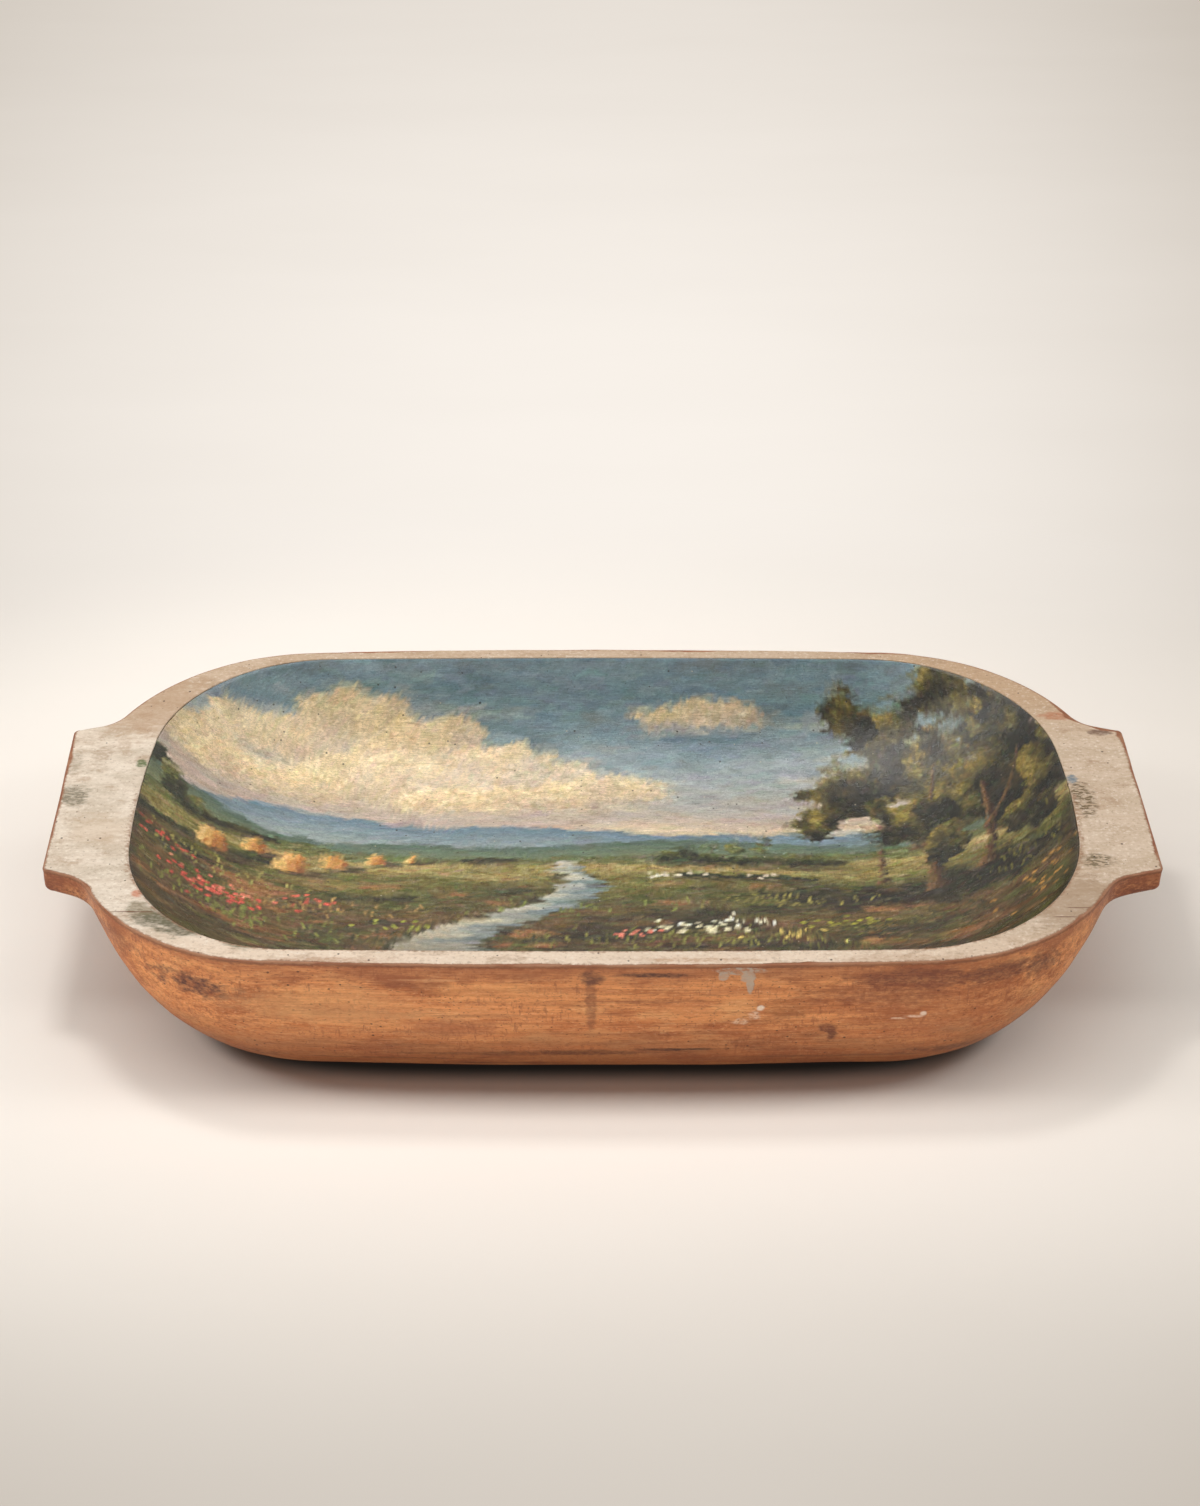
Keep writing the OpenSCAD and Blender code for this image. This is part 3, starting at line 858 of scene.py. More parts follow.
def paint_trees(view):
    """Far trees at the left and a group of broad old trees at the right, with its shade."""
    ragged = view.noise(15, 101, 4)
    far_tones = [(40, 46, 32), (62, 68, 42), (96, 98, 52), (128, 124, 66)]
    paint_masses(view, ragged, FAR_TREES, far_tones)
    shade = np.hypot((view.x - 232) / 112, (view.y + 24) / 20) + 0.3 * ragged
    view.lay(0.85 * smooth(shade, 1.05, 0.6), (36, 34, 24), GROUND)
    tones = [(28, 28, 20), (56, 51, 27), (100, 88, 38), (150, 128, 56)]
    paint_masses(view, ragged, CROWNS[:REAR_CROWNS], tones)
    for trunk in TRUNKS:
        paint_trunk(view, *trunk)
    paint_masses(view, ragged, CROWNS[REAR_CROWNS:], tones)


# Tufts of grass as upright dabs, and flowers as dabs that lie along X: x, y, half length and half
# height of the drift, how many dabs, the dab's length and width, and its colour
TUFTS = [
    (-230, -58, 90, 16, 90, 8, 1.9, (122, 124, 58)),
    (-130, -62, 70, 12, 70, 8, 1.9, (58, 60, 30)),
    (60, -62, 110, 12, 110, 7, 1.9, (116, 112, 54)),
    (190, -56, 90, 14, 80, 8, 1.9, (60, 58, 32)),
    (-20, -30, 60, 8, 40, 6, 1.9, (120, 128, 62)),
    (120, -24, 60, 8, 46, 6, 1.9, (138, 128, 66)),
    (-260, -20, 60, 10, 46, 6, 1.9, (148, 138, 74)),
    (-180, -36, 70, 8, 40, 6, 1.9, (160, 126, 72)),
    (290, -20, 40, 26, 50, 8, 1.9, (96, 90, 42)),
]
FLOWERS = [
    (-258, -46, 44, 9, 46, 4.6, 3.2, (206, 84, 66)),
    (-250, -40, 36, 7, 22, 4.0, 2.8, (232, 128, 100)),
    (-196, -30, 26, 5, 16, 3.4, 2.4, (214, 96, 74)),
    (-300, -24, 22, 8, 16, 4.2, 3.0, (196, 76, 60)),
    (64, -52, 34, 6, 30, 4.8, 3.2, (226, 214, 172)),
    (96, -44, 24, 5, 16, 3.8, 2.8, (236, 226, 190)),
    (128, -60, 26, 6, 14, 4.4, 3.0, (206, 178, 96)),
    (20, -58, 20, 4, 12, 4.0, 2.8, (220, 120, 96)),
    (172, -46, 36, 5, 16, 4.2, 2.8, (150, 144, 52)),
    (-120, -52, 36, 6, 18, 4.6, 2.8, (140, 140, 54)),
    (44, 4, 26, 4, 9, 4.6, 3.4, (228, 214, 184)),
    (112, 2, 22, 3, 6, 4.2, 3.2, (208, 190, 160)),
    (-60, -120, 150, 22, 70, 5.0, 3.4, (190, 84, 64)),
    (110, -130, 120, 24, 70, 5.0, 3.4, (208, 196, 150)),
    (300, -60, 30, 30, 26, 5.0, 3.4, (176, 128, 62)),
]
# Goings-over with the brush: kinds, gap between strokes, their size, load of paint and seed
PASSES = [
    (BRUSHES, 5.5, 1.0, 0.75, 200),
    (BRUSHES, 3.4, 0.62, 0.7, 300),
    ((LEAVES, GROUND, SHEAF, CLOUD), 2.7, 0.45, 0.7, 400),
]


def softened(colour):
    """Colours with each point averaged over the 5 by 5 points round it."""
    for axis in (0, 1):
        colour = sum(np.roll(colour, step, axis) for step in range(-2, 3)) / 5
    return colour


def picture_canvas():
    """The finished canvas: the view is blocked in by formula, gone over with strokes from broad to
    fine, dotted with tufts and flowers, and made a little crisper."""
    view = Canvas()
    layers = (paint_sky, paint_clouds, paint_hills, paint_meadow, paint_river)
    for paint in (*layers, paint_hedges, paint_sheaves, paint_trees):
        paint(view)
    for kinds, gap, size, load, seed in PASSES:
        for kind in kinds:
            view.repaint(kind, gap, size, load, seed + kind)
    draw = np.random.default_rng(7)
    for n, drift in enumerate(TUFTS):
        view.strew(draw, drift, 0.14, 1.55, 0.4, 0.85, 600 + n)
    for n, drift in enumerate(FLOWERS):
        view.strew(draw, drift, 0.09, 0.1, 0.5, 1.0, 500 + n)
    view.colour += CRISPNESS * (view.colour - softened(view.colour))
    view.colour = np.clip(view.colour, 0.02, 1)
    return view


def sampled(field, places):
    """Values of a canvas field at places in millimetres, blended between its nearest four points."""
    at = (places - CANVAS_LOW) / CANVAS_STEP
    low = np.clip(np.floor(at).astype(int), 0, np.array(field.shape[1::-1]) - 2)
    u, v = np.clip(at - low, 0, 1).T
    c, r = low.T
    if field.ndim == 3:
        u, v = u[:, None], v[:, None]
    front = between(field[r, c], field[r, c + 1], u)
    rear = between(field[r + 1, c], field[r + 1, c + 1], u)
    return between(front, rear, v)


def linear(colour):
    """Linear light from display levels."""
    return np.where(colour < 0.04045, colour / 12.92, ((np.maximum(colour, 0.04) + 0.055) / 1.055) ** 2.4)


# Grime on the picture below the rim: how deep it reaches, and its strength at the front and back
GRIME_DEEP = 10
FRONT_GRIME, BACK_GRIME = 0.4, 0.12
# How much of the leaves' dabs the clouds show
CLOUD_DABS = 0.35


def picture_coat():
    """The ground and picture paint in the hollow: a thin closed shell. Its face is the grid on the
    hollow, and its back is a set of rings from the same edge to the middle."""
    out, sign_x, sign_y, turn, q = hollow_grid()
    edge = hollow(sign_x, sign_y, turn, 0 * q, 0)
    start = (0.75 * ARRIS_R + 0.2 * np.clip(rough_noise(edge, 16, 121), -1, 1)) / HOLLOW_DEPTH
    q = start + (1 - start) * q
    built_up = smooth(1 - out, 0, 0.012)
    face = hollow(sign_x, sign_y, turn, q, 0)
    inner = hollow(sign_x, sign_y, turn, q, PICTURE_T)
    face = between(face, inner, built_up[:, None])
    middle = np.array([HOLLOW_RIGHT, HOLLOW_BACK])
    inside = out < FLOOR_SHARE
    scale = np.where(inside, out / FLOOR_SHARE, 1.0)[:, None]
    face[:, :2] = middle + (face[:, :2] - middle) * scale
    hewn = 0.35 * rough_noise(face, (60, 40, 40), 131) * smooth(q, 0.05, 0.3)
    face[:, 2] += np.maximum(hewn, -0.4)

    flat = unfolded(sign_x, sign_y, turn, q, out)
    view = picture_canvas()
    grime = smooth(q * HOLLOW_DEPTH + 4 * rough_noise(flat, 18, 141), GRIME_DEEP, 0)
    grime *= np.where(sign_y > 0, BACK_GRIME, FRONT_GRIME)
    tones = sampled(view.colour, flat) * (1 - grime[:, None])
    colour = np.hstack([linear(tones), np.ones((len(tones), 1))])
    ridges = sampled(view.relief, flat)
    leafy = sampled((view.kinds == LEAVES) + CLOUD_DABS * (view.kinds == CLOUD), flat)
    grassy = sampled((view.kinds == GROUND) * 1.0, flat)

    across = GRID_LONG + 1
    i, j = np.meshgrid(np.arange(GRID_LONG), np.arange(GRID_WIDE))
    low = (j * across + i).ravel()
    quads = np.stack([low, low + 1, low + across + 1, low + across], -1)
    right = np.arange(GRID_WIDE) * across + GRID_LONG
    back = GRID_WIDE * across + GRID_LONG - np.arange(GRID_LONG)
    left = (GRID_WIDE - np.arange(GRID_WIDE)) * across
    front = np.arange(GRID_LONG)
    border = np.concatenate([right, back, left, front])
    count = len(border)
    shares = np.sin(np.radians(np.linspace(0, 90, 11)))[:, None]
    q_back = start[border] + (1 - start[border]) * shares
    walls = hollow(sign_x[border], sign_y[border], turn[border], q_back, -HOLLOW_SINK)
    centre = np.array([HOLLOW_RIGHT, HOLLOW_BACK, walls[-1, 0, 2]])
    floor = centre + (walls[-1] - centre) * 0.5
    rings = np.concatenate([walls, floor[None]])
    base = len(face)
    points = np.vstack([face, rings.reshape(-1, 3), centre])
    k, next_k = np.arange(count), (np.arange(count) + 1) % count
    seam = np.stack([border[k], base + k, base + next_k, border[next_k]], -1)
    rear = ring_faces(len(rings), count, base)
    last = base + (len(rings) - 1) * count
    cap = np.stack([last + k, np.full(count, len(points) - 1), last + next_k], -1)
    hidden = len(points) - base
    colour = np.vstack([colour, np.tile([0.2, 0.17, 0.12, 1], (hidden, 1))])
    ridges, leafy, grassy = (
        np.concatenate([values, np.zeros(hidden)]) for values in (ridges, leafy, grassy)
    )
    return make_piece(
        "picture_coat", points, np.vstack([quads, seam, rear]), cap, "picture_paint",
        [
            ("paint", "FLOAT_COLOR", colour),
            ("relief", "FLOAT", ridges),
            ("leafy", "FLOAT", leafy),
            ("grassy", "FLOAT", grassy),
        ],
    )


# Shader networks

class Net:
    """Adds nodes to one material or node group and joins them."""

    def __init__(self, tree):
        self.tree = tree

    def put(self, kind, feeds=None, out=0, **settings):
        """One node with its properties set and its inputs fed with values or sockets."""
        node = self.tree.nodes.new(kind)
        for name, value in settings.items():
            setattr(node, name, value)
        for name, value in (feeds or {}).items():
            if isinstance(value, bpy.types.NodeSocket):
                self.tree.links.new(value, node.inputs[name])
            else:
                node.inputs[name].default_value = value
        return node if out is None else node.outputs[out]

    def math(self, operation, a, b=0.0):
        return self.put("ShaderNodeMath", {0: a, 1: b}, operation=operation)

    def vector_math(self, operation, feeds, out=0):
        return self.put("ShaderNodeVectorMath", feeds, out, operation=operation)

    def add(self, a, b):
        return self.math("ADD", a, b)

    def times(self, a, b):
        return self.math("MULTIPLY", a, b)

    def total(self, *parts):
        """The sum of values, each times its weight."""
        terms = [self.times(value, weight) for value, weight in parts]
        found = terms[0]
        for term in terms[1:]:
            found = self.add(found, term)
        return found

    def swing(self, noise, size):
        """How far a noise lies from its middle of one half, times a size."""
        return self.times(self.math("SUBTRACT", noise, 0.5), size)

    def step(self, value, low, high, to_low=0.0, to_high=1.0):
        """A smooth step of value from low to high."""
        feeds = {"Value": value, "From Min": low, "From Max": high, "To Min": to_low, "To Max": to_high}
        return self.put("ShaderNodeMapRange", feeds, interpolation_type="SMOOTHSTEP")

    def stretch(self, vector, sizes):
        """A vector divided by sizes in millimetres, so that one unit is one feature."""
        scale = [1 / (size * MM) for size in sizes]
        return self.vector_math("MULTIPLY", {0: vector, 1: scale})

    def noise(self, vector, sizes, detail=2.0, rough=0.5):
        feeds = {"Vector": self.stretch(vector, sizes), "Scale": 1.0, "Detail": detail, "Roughness": rough}
        return self.put("ShaderNodeTexNoise", feeds)

    def tint(self, under, over, share):
        """The colour over laid on the colour under by a share."""
        return self.put("ShaderNodeMix", {0: share, 6: under, 7: over}, 2, data_type="RGBA")

    def coats(self, colour, rows):
        """Lays coats on a colour in turn. Each row holds a mask, the strength where it is 1, and a
        tone in levels or a colour."""
        for mask, strength, over in rows:
            over = tone(*over) if isinstance(over, tuple) else over
            colour = self.tint(colour, over, self.times(mask, strength))
        return colour

    def attribute(self, name, out="Fac"):
        return self.put("ShaderNodeAttribute", None, out, attribute_name=name)

    def axes(self, place):
        """The three coordinates of a place."""
        return self.put("ShaderNodeSeparateXYZ", {0: place}, None).outputs

    def seen_directly(self):
        """1 for rays from the camera, and for those mirrored or let through on their way to it."""
        rays = self.put("ShaderNodeLightPath", None, None).outputs
        seen = self.math("MAXIMUM", rays["Is Camera Ray"], rays["Is Glossy Ray"])
        return self.math("MAXIMUM", seen, rays["Is Transmission Ray"])

    def place(self):
        return self.put("ShaderNodeTexCoord", out="Object")


def tone(r, g, b):
    """A shader colour from display levels up to 255."""
    return (*linear(rgb(r, g, b)).tolist(), 1.0)


def new_group(name, inputs, outputs):
    """A node group with named sockets. Returns it with its net, its inputs and its output node."""
    group = bpy.data.node_groups.new(name, "ShaderNodeTree")
    for label, kind, value in inputs:
        socket = group.interface.new_socket(label, in_out="INPUT", socket_type="NodeSocket" + kind)
        if value is not None:
            socket.default_value = value
    for label in outputs:
        group.interface.new_socket(label, in_out="OUTPUT", socket_type="NodeSocketFloat")
    given, result = group.nodes.new("NodeGroupInput"), group.nodes.new("NodeGroupOutput")
    return group, Net(group), given.outputs, result


def speck_group():
    """Small spots: a cell's point, kept by a random draw, with a soft edge at its radius."""
    inputs = [("Vector", "Vector", None), ("Kept", "Float", 0.3), ("Radius", "Float", 0.25)]
    group, net, given, result = new_group("specks", inputs, ["Mask"])
    cells = net.put("ShaderNodeTexVoronoi", {"Vector": given["Vector"], "Scale": 1.0}, None)
    draw = net.put("ShaderNodeSeparateColor", {"Color": cells.outputs["Color"]}, None).outputs
    kept = net.math("LESS_THAN", draw["Red"], given["Kept"])
    size = net.times(given["Radius"], net.step(draw["Green"], 0.0, 1.0, 0.35, 1.0))
    spot = net.step(net.math("DIVIDE", cells.outputs["Distance"], size), 1.0, 0.6)
    group.links.new(net.times(spot, kept), result.inputs["Mask"])
    return group


def patch_group():
    """One soft patch: 1 inside an oval about its centre, with an edge broken up by noise."""
    inputs = [
        ("Vector", "Vector", None),
        ("Centre", "Vector", (0.0, 0.0, 0.0)),
        ("Half Size", "Vector", (0.01, 0.01, 0.01)),
        ("Ragged", "Float", 0.4),
        ("Soft", "Float", 0.3),
        ("Breakup", "Float", 0.0),
    ]
    group, net, given, result = new_group("patch", inputs, ["Mask"])
    vector = given["Vector"]
    offset = net.vector_math("SUBTRACT", {0: vector, 1: given["Centre"]})
    scaled = net.vector_math("DIVIDE", {0: offset, 1: given["Half Size"]})
    away = net.vector_math("LENGTH", {0: scaled}, "Value")
    away = net.add(away, net.swing(net.noise(vector, (9, 4, 4), 4.0, 0.6), given["Ragged"]))
    cover = net.step(away, 1.0, net.math("SUBTRACT", 1.0, given["Soft"]))
    gaps = net.step(net.noise(vector, (3.5, 1.6, 1.6), 3.0, 0.6), 0.42, 0.58)
    kept = net.math("SUBTRACT", 1.0, net.times(given["Breakup"], gaps))
    group.links.new(net.times(cover, kept), result.inputs["Mask"])
    return group


def fibre_group():
    """Grain along X: fine fibres, broader streaks and mottling, each centred on a half."""
    group, net, given, result = new_group(
        "fibres", [("Vector", "Vector", None)], ["Fine", "Streak", "Mottle"]
    )
    vector = given["Vector"]
    group.links.new(net.noise(vector, (26, 0.8, 0.8), 3.0, 0.6), result.inputs["Fine"])
    group.links.new(net.noise(vector, (70, 5.5, 5.5), 3.0, 0.6), result.inputs["Streak"])
    group.links.new(net.noise(vector, (34, 17, 17), 4.0, 0.6), result.inputs["Mottle"])
    return group


SPECKS, PATCH, FIBRES = speck_group(), patch_group(), fibre_group()


def specks(net, vector, sizes, kept, radius):
    feeds = {"Vector": net.stretch(vector, sizes), "Kept": kept, "Radius": radius}
    return net.put("ShaderNodeGroup", feeds, "Mask", node_tree=SPECKS)


def fibres(net, vector):
    """Fine fibres, streaks and mottling from the shared group."""
    node = net.put("ShaderNodeGroup", {"Vector": vector}, None, node_tree=FIBRES)
    return node.outputs["Fine"], node.outputs["Streak"], node.outputs["Mottle"]


def patch(net, vector, centre, half, ragged, soft, breakup):
    feeds = {
        "Vector": vector,
        "Centre": [value * MM for value in centre],
        "Half Size": [value * MM for value in half],
        "Ragged": ragged,
        "Soft": soft,
        "Breakup": breakup,
    }
    return net.put("ShaderNodeGroup", feeds, "Mask", node_tree=PATCH)


def marked(net, place, colour, marks, ragged, soft):
    """A colour with patches laid on it in turn."""
    rows = [
        (patch(net, place, centre, half, ragged, soft, breakup), strength, over)
        for centre, half, over, strength, breakup in marks
    ]
    return net.coats(colour, rows)


def joined(net, place, shapes, ragged, soft):
    """One mask of several patches: the highest of them at each place."""
    mask = 0.0
    for centre, half, breakup in shapes:
        mask = net.math("MAXIMUM", mask, patch(net, place, centre, half, ragged, soft, breakup))
    return mask


def new_material(name):
    material = bpy.data.materials.new(name)
    material.use_nodes = True
    material.node_tree.nodes.clear()
    return material, Net(material.node_tree)


def surface(net, colour, roughness, height, distance):
    """The shader of a material: its colour and roughness, and a bump from its height."""
    bump = net.put("ShaderNodeBump", {"Height": height, "Distance": distance, "Strength": 1.0})
    feeds = {"Base Color": colour, "Roughness": roughness, "Normal": bump}
    shader = net.put("ShaderNodeBsdfPrincipled", feeds)
    net.put("ShaderNodeOutputMaterial", {"Surface": shader}, None)


# Growth rings: how far the pith lies below the foot and behind the middle, how wide each ring is
# and how far noise sways it, in metres
PITH_BELOW, PITH_BACK = 0.150, 0.05
RING_W = 6.2 * MM
RING_SWAY = 0.05
# Marks on the wood: centre and half size of each patch, its colour and its strength, and for
# the pale ones their breakup, which is the same for all the others
MARK_BREAKUP = 0.35
WOOD_MARKS = [
    ((-230, -125, 73), (50, 60, 13), (86, 44, 34), 1.0),
    ((-244, -125, 76), (34, 60, 10), (74, 38, 32), 0.9),
    ((-292, -100, 84), (30, 60, 12), (110, 58, 40), 0.6),
    ((-4, -174, 72), (4.5, 30, 30), (108, 58, 36), 0.6),
    ((-3, -174, 90), (9, 30, 6.5), (86, 46, 32), 0.75),
    ((33, -174, 92.5), (28, 30, 2.6), (70, 36, 24), 0.9),
    ((139, -165, 49), (6.5, 40, 5), (104, 52, 28), 0.9),
    ((142, -165, 43), (4, 40, 6), (98, 48, 26), 0.9),
    ((192, -165, 87), (52, 40, 10), (104, 54, 36), 0.8),
    ((240, -150, 84), (30, 50, 10), (92, 50, 36), 0.7),
    ((268, -120, 78), (20, 60, 12), (84, 48, 34), 0.6),
    ((50, -160, 31), (36, 40, 1.7), (56, 28, 18), 0.95),
    ((-12, -160, 28), (58, 40, 3.4), (84, 44, 24), 0.75),
    ((-112, -160, 34), (30, 40, 3.0), (110, 60, 34), 0.5),
    ((-60, -150, 14), (60, 40, 1.6), (70, 38, 24), 0.7),
    ((-150, -165, 60), (60, 40, 5), (140, 84, 48), 0.5),
    ((114, -170, 64), (18, 40, 12), (128, 96, 56), 0.22),
    ((-205, -120, 22), (30, 60, 6), (66, 38, 26), 0.75),
    ((210, -140, 26), (40, 60, 5), (78, 44, 30), 0.65),
    ((-110, -172, 84), (26, 30, 3), (128, 66, 36), 0.6),
    ((-60, -160, 26), (90, 40, 2.2), (92, 50, 28), 0.6),
    ((-130, -150, 20), (70, 40, 1.6), (78, 42, 26), 0.6),
    ((150, -150, 22), (80, 40, 2.0), (92, 50, 30), 0.55),
    ((30, -172, 72), (60, 30, 2.0), (140, 78, 44), 0.5),
    ((205, -160, 62), (80, 40, 32), (146, 76, 42), 0.5),
    ((-87, -165, 50), (38, 40, 9), (146, 80, 44), 0.55),
    ((262, -120, 84), (26, 60, 12), (98, 52, 34), 0.6),
    ((-60, -172, 60), (50, 30, 1.6), (150, 88, 50), 0.5),
    ((170, -165, 76), (60, 40, 12), (118, 58, 32), 0.5),
]
PALE_MARKS = [
    ((98, -174, 66.5), (3.2, 30, 3.0), (238, 216, 196), 1.0, 0.2),
    ((94, -174, 60.5), (5.2, 30, 4.4), (226, 190, 162), 0.9, 0.8),
    ((86, -174, 55.5), (6.4, 30, 3.4), (222, 184, 154), 0.9, 0.85),
    ((197, -160, 59.5), (3.0, 40, 2.4), (238, 216, 196), 1.0, 0.2),
    ((191, -160, 57.4), (7.0, 40, 1.6), (228, 194, 168), 0.9, 0.6),
    ((182, -160, 56.0), (8.0, 40, 1.2), (220, 182, 152), 0.8, 0.8),
    ((-100, -172, 88), (30, 30, 1.2), (226, 170, 116), 0.5, 0.3),
    ((-165, -165, 66), (72, 40, 20), (228, 168, 108), 0.5, 0.3),
    ((-60, -172, 80), (60, 30, 8), (230, 166, 102), 0.3, 0.3),
]
# Where grey paint ran down the front wall: centre, half size and breakup
PAINT_RUNS = [
    ((84, -175, 95.5), (19, 12, 3.0), 0.8),
    ((75, -175, 92), (3.6, 12, 4.4), 0.35),
    ((90, -175, 91), (5.0, 12, 5.0), 0.25),
    ((91, -175, 85), (2.6, 12, 8.6), 0.15),
]


def growth_rings(net, place, y, z):
    """Faint rings round a pith below the bowl: the distance from it, swayed along X by noise, runs
    from 0 to 1 over each ring, and rises to late wood before it drops."""
    sway = net.swing(net.noise(place, (240, 60, 60), 2.0), RING_SWAY)
    rise, side = net.add(net.add(z, PITH_BELOW), sway), net.add(net.add(y, -PITH_BACK), sway)
    from_pith = net.math("SQRT", net.add(net.times(rise, rise), net.times(side, side)))
    ring = net.math("FRACT", net.times(from_pith, 1 / RING_W))
    return net.times(net.step(ring, 0.1, 0.85), net.step(ring, 1.0, 0.9))


def worn_wood():
    """Warm, dry, hand-rubbed wood: faint growth rings, fibres along X, mottling, flecks, stains, a dull
    line under the rim's paint, darker lugs, and grime and painted shade low down and at the foot."""
    material, net = new_material("worn_wood")
    step, place = net.step, net.place()
    x, y, z = net.axes(place)
    fine, streak, mottle = fibres(net, place)
    grit = net.noise(place, (3.4, 1.5, 1.5), 4.0, 0.65)
    cloudy = net.noise(place, (64, 30, 26), 5.0, 0.68)
    cross = net.noise(place, (1.9, 7, 7), 3.0, 0.6)
    drawn = net.noise(place, (95, 3.4, 2.6), 4.0, 0.6)
    pores = specks(net, place, (6, 1.1, 1.1), 0.34, 0.24)
    flecks = specks(net, place, (2.8, 1.8, 1.8), 0.34, 0.27)
    dots = specks(net, place, (6, 5, 5), 0.42, 0.17)

    # Heights above the floor, swayed by noise, for the tones that change on the way down the wall
    high = net.add(z, net.swing(cloudy, 0.05))
    line = net.add(z, net.swing(grit, 0.004))
    low = net.add(net.add(z, net.swing(mottle, 0.03)), net.swing(streak, 0.05))
    lugs = net.times(step(net.math("ABSOLUTE", x), 0.296, 0.33), step(z, 0.06, 0.074))
    blotchy = step(net.total((grit, 0.5), (mottle, 0.5)), 0.43, 0.56, 0.3, 0.95)

    colour = net.tint(tone(230, 154, 90), tone(198, 120, 64), step(streak, 0.38, 0.64))
    colour = net.coats(colour, [
        (growth_rings(net, place, y, z), 0.22, (170, 98, 54)),
        (step(mottle, 0.46, 0.32), 0.5, (232, 170, 108)),
        (step(net.add(cloudy, net.swing(fine, 0.25)), 0.5, 0.66), 0.62, (144, 70, 32)),
        (step(fine, 0.53, 0.74), 0.5, (122, 64, 36)),
        (step(fine, 0.44, 0.28), 0.3, (234, 184, 134)),
        (step(grit, 0.52, 0.68), 0.5, (122, 62, 28)),
        (step(grit, 0.45, 0.31), 0.36, (238, 186, 132)),
        (step(drawn, 0.52, 0.7), 0.28, (136, 74, 40)),
        (step(drawn, 0.47, 0.3), 0.22, (238, 176, 116)),
        (net.times(step(cross, 0.53, 0.66), step(mottle, 0.46, 0.6)), 0.5, (130, 68, 38)),
        (pores, 0.62, (84, 44, 22)),
        (flecks, 0.65, (86, 48, 30)),
        (dots, 0.85, (44, 27, 18)),
        (lugs, blotchy, (104, 50, 26)),
        (net.times(lugs, step(z, 0.0885, 0.083)), 0.6, (74, 42, 28)),
        (step(high, 0.083, 0.0975), 0.6, (150, 86, 52)),
        (step(line, 0.0966, 0.0985), 0.6, (104, 58, 36)),
        (net.times(step(line, 0.0985, 0.0994), step(mottle, 0.4, 0.56)), 0.45, (176, 132, 98)),
        # Grime and painted shade: the lower wall darkens towards the foot
        (step(low, 0.062, 0.018), 0.72, (108, 58, 32)),
        # Grime and painted contact shade: nearly black in the last few millimetres above the foot
        (step(z, 0.0075, 0.002), 0.9, (30, 19, 13)),
        (net.times(step(z, 0.0012, 0.0004), step(grit, 0.4, 0.64)), 0.5, (196, 142, 96)),
    ])
    colour = marked(net, place, colour, [(*mark, MARK_BREAKUP) for mark in WOOD_MARKS], 1.3, 0.55)
    colour = marked(net, place, colour, PALE_MARKS, 1.1, 0.6)
    runs = joined(net, place, PAINT_RUNS, 0.9, 0.25)
    colour = net.coats(colour, [(runs, 0.92, (184, 166, 148))])
    roughness = net.add(step(cloudy, 0.3, 0.7, 0.48, 0.64), net.times(runs, 0.08))
    height = net.total((fine, 0.5), (mottle, 0.5), (grit, 0.5), (pores, -0.5), (dots, -0.6), (runs, 0.8))
    surface(net, colour, roughness, height, 0.4 * MM)
    return material


# Patches on the rim's paint: x, y, half length, half width, colour, strength and breakup
RIM_MARKS = [
    (-341, -3, 13, 15, (112, 102, 80), 0.9, 0.45),
    (-348, 34, 9, 16, (146, 130, 108), 0.6, 0.6),
    (-330, 46, 10, 12, (158, 132, 106), 0.6, 0.6),
    (-302, 34, 5, 6, (84, 98, 54), 0.95, 0.4),
    (-284, -105, 5, 6, (190, 118, 86), 0.9, 0.25),
    (-264, -129, 25, 12, (96, 90, 66), 1.0, 0.2),
    (-249, -139, 22, 10, (90, 84, 60), 0.95, 0.25),
    (-280, -120, 12, 8, (122, 108, 80), 0.85, 0.3),
    (-211, -154, 15, 7, (104, 98, 72), 0.9, 0.4),
    (-318, -40, 26, 22, (196, 172, 146), 0.5, 0.3),
    (315, -6, 10, 26, (96, 76, 44), 0.95, 0.8),
    (313, -72, 15, 9, (98, 82, 52), 0.9, 0.85),
    (311, 16, 5, 6, (96, 114, 126), 0.95, 0.4),
    (312, 90, 15, 6, (168, 106, 70), 0.8, 0.3),
    (338, 70, 11, 5, (96, 66, 50), 0.85, 0.35),
    (-304, 104, 50, 50, (172, 140, 110), 0.7, 0.2),
    (288, -62, 24, 40, (160, 132, 104), 0.6, 0.4),
    (292, -114, 44, 38, (146, 118, 90), 0.6, 0.1),
    (190, -168, 60, 6, (176, 142, 112), 0.5, 0.4),
    (60, -169, 44, 3, (184, 146, 114), 0.7, 0.6),
    (-160, -169, 50, 4, (180, 140, 110), 0.6, 0.6),
]
# Cracks in the rim's paint: x, y, half length and half width
RIM_CRACKS = [
    (-284, -123, 15, 0.6),
    (295, -119, 9, 0.7),
    (285, -128, 9, 0.7),
]


# How far up and down a patch on the rim reaches, and how broken up the cracks are
RIM_PATCH_HALF = 9
CRACK_BREAKUP = 0.2


def on_rim(x, y, half_len, half_w, *rest):
    """A row that describes a patch on top of the rim, for marked and joined."""
    return (x, y, BOWL_H), (half_len, half_w, RIM_PATCH_HALF), *rest


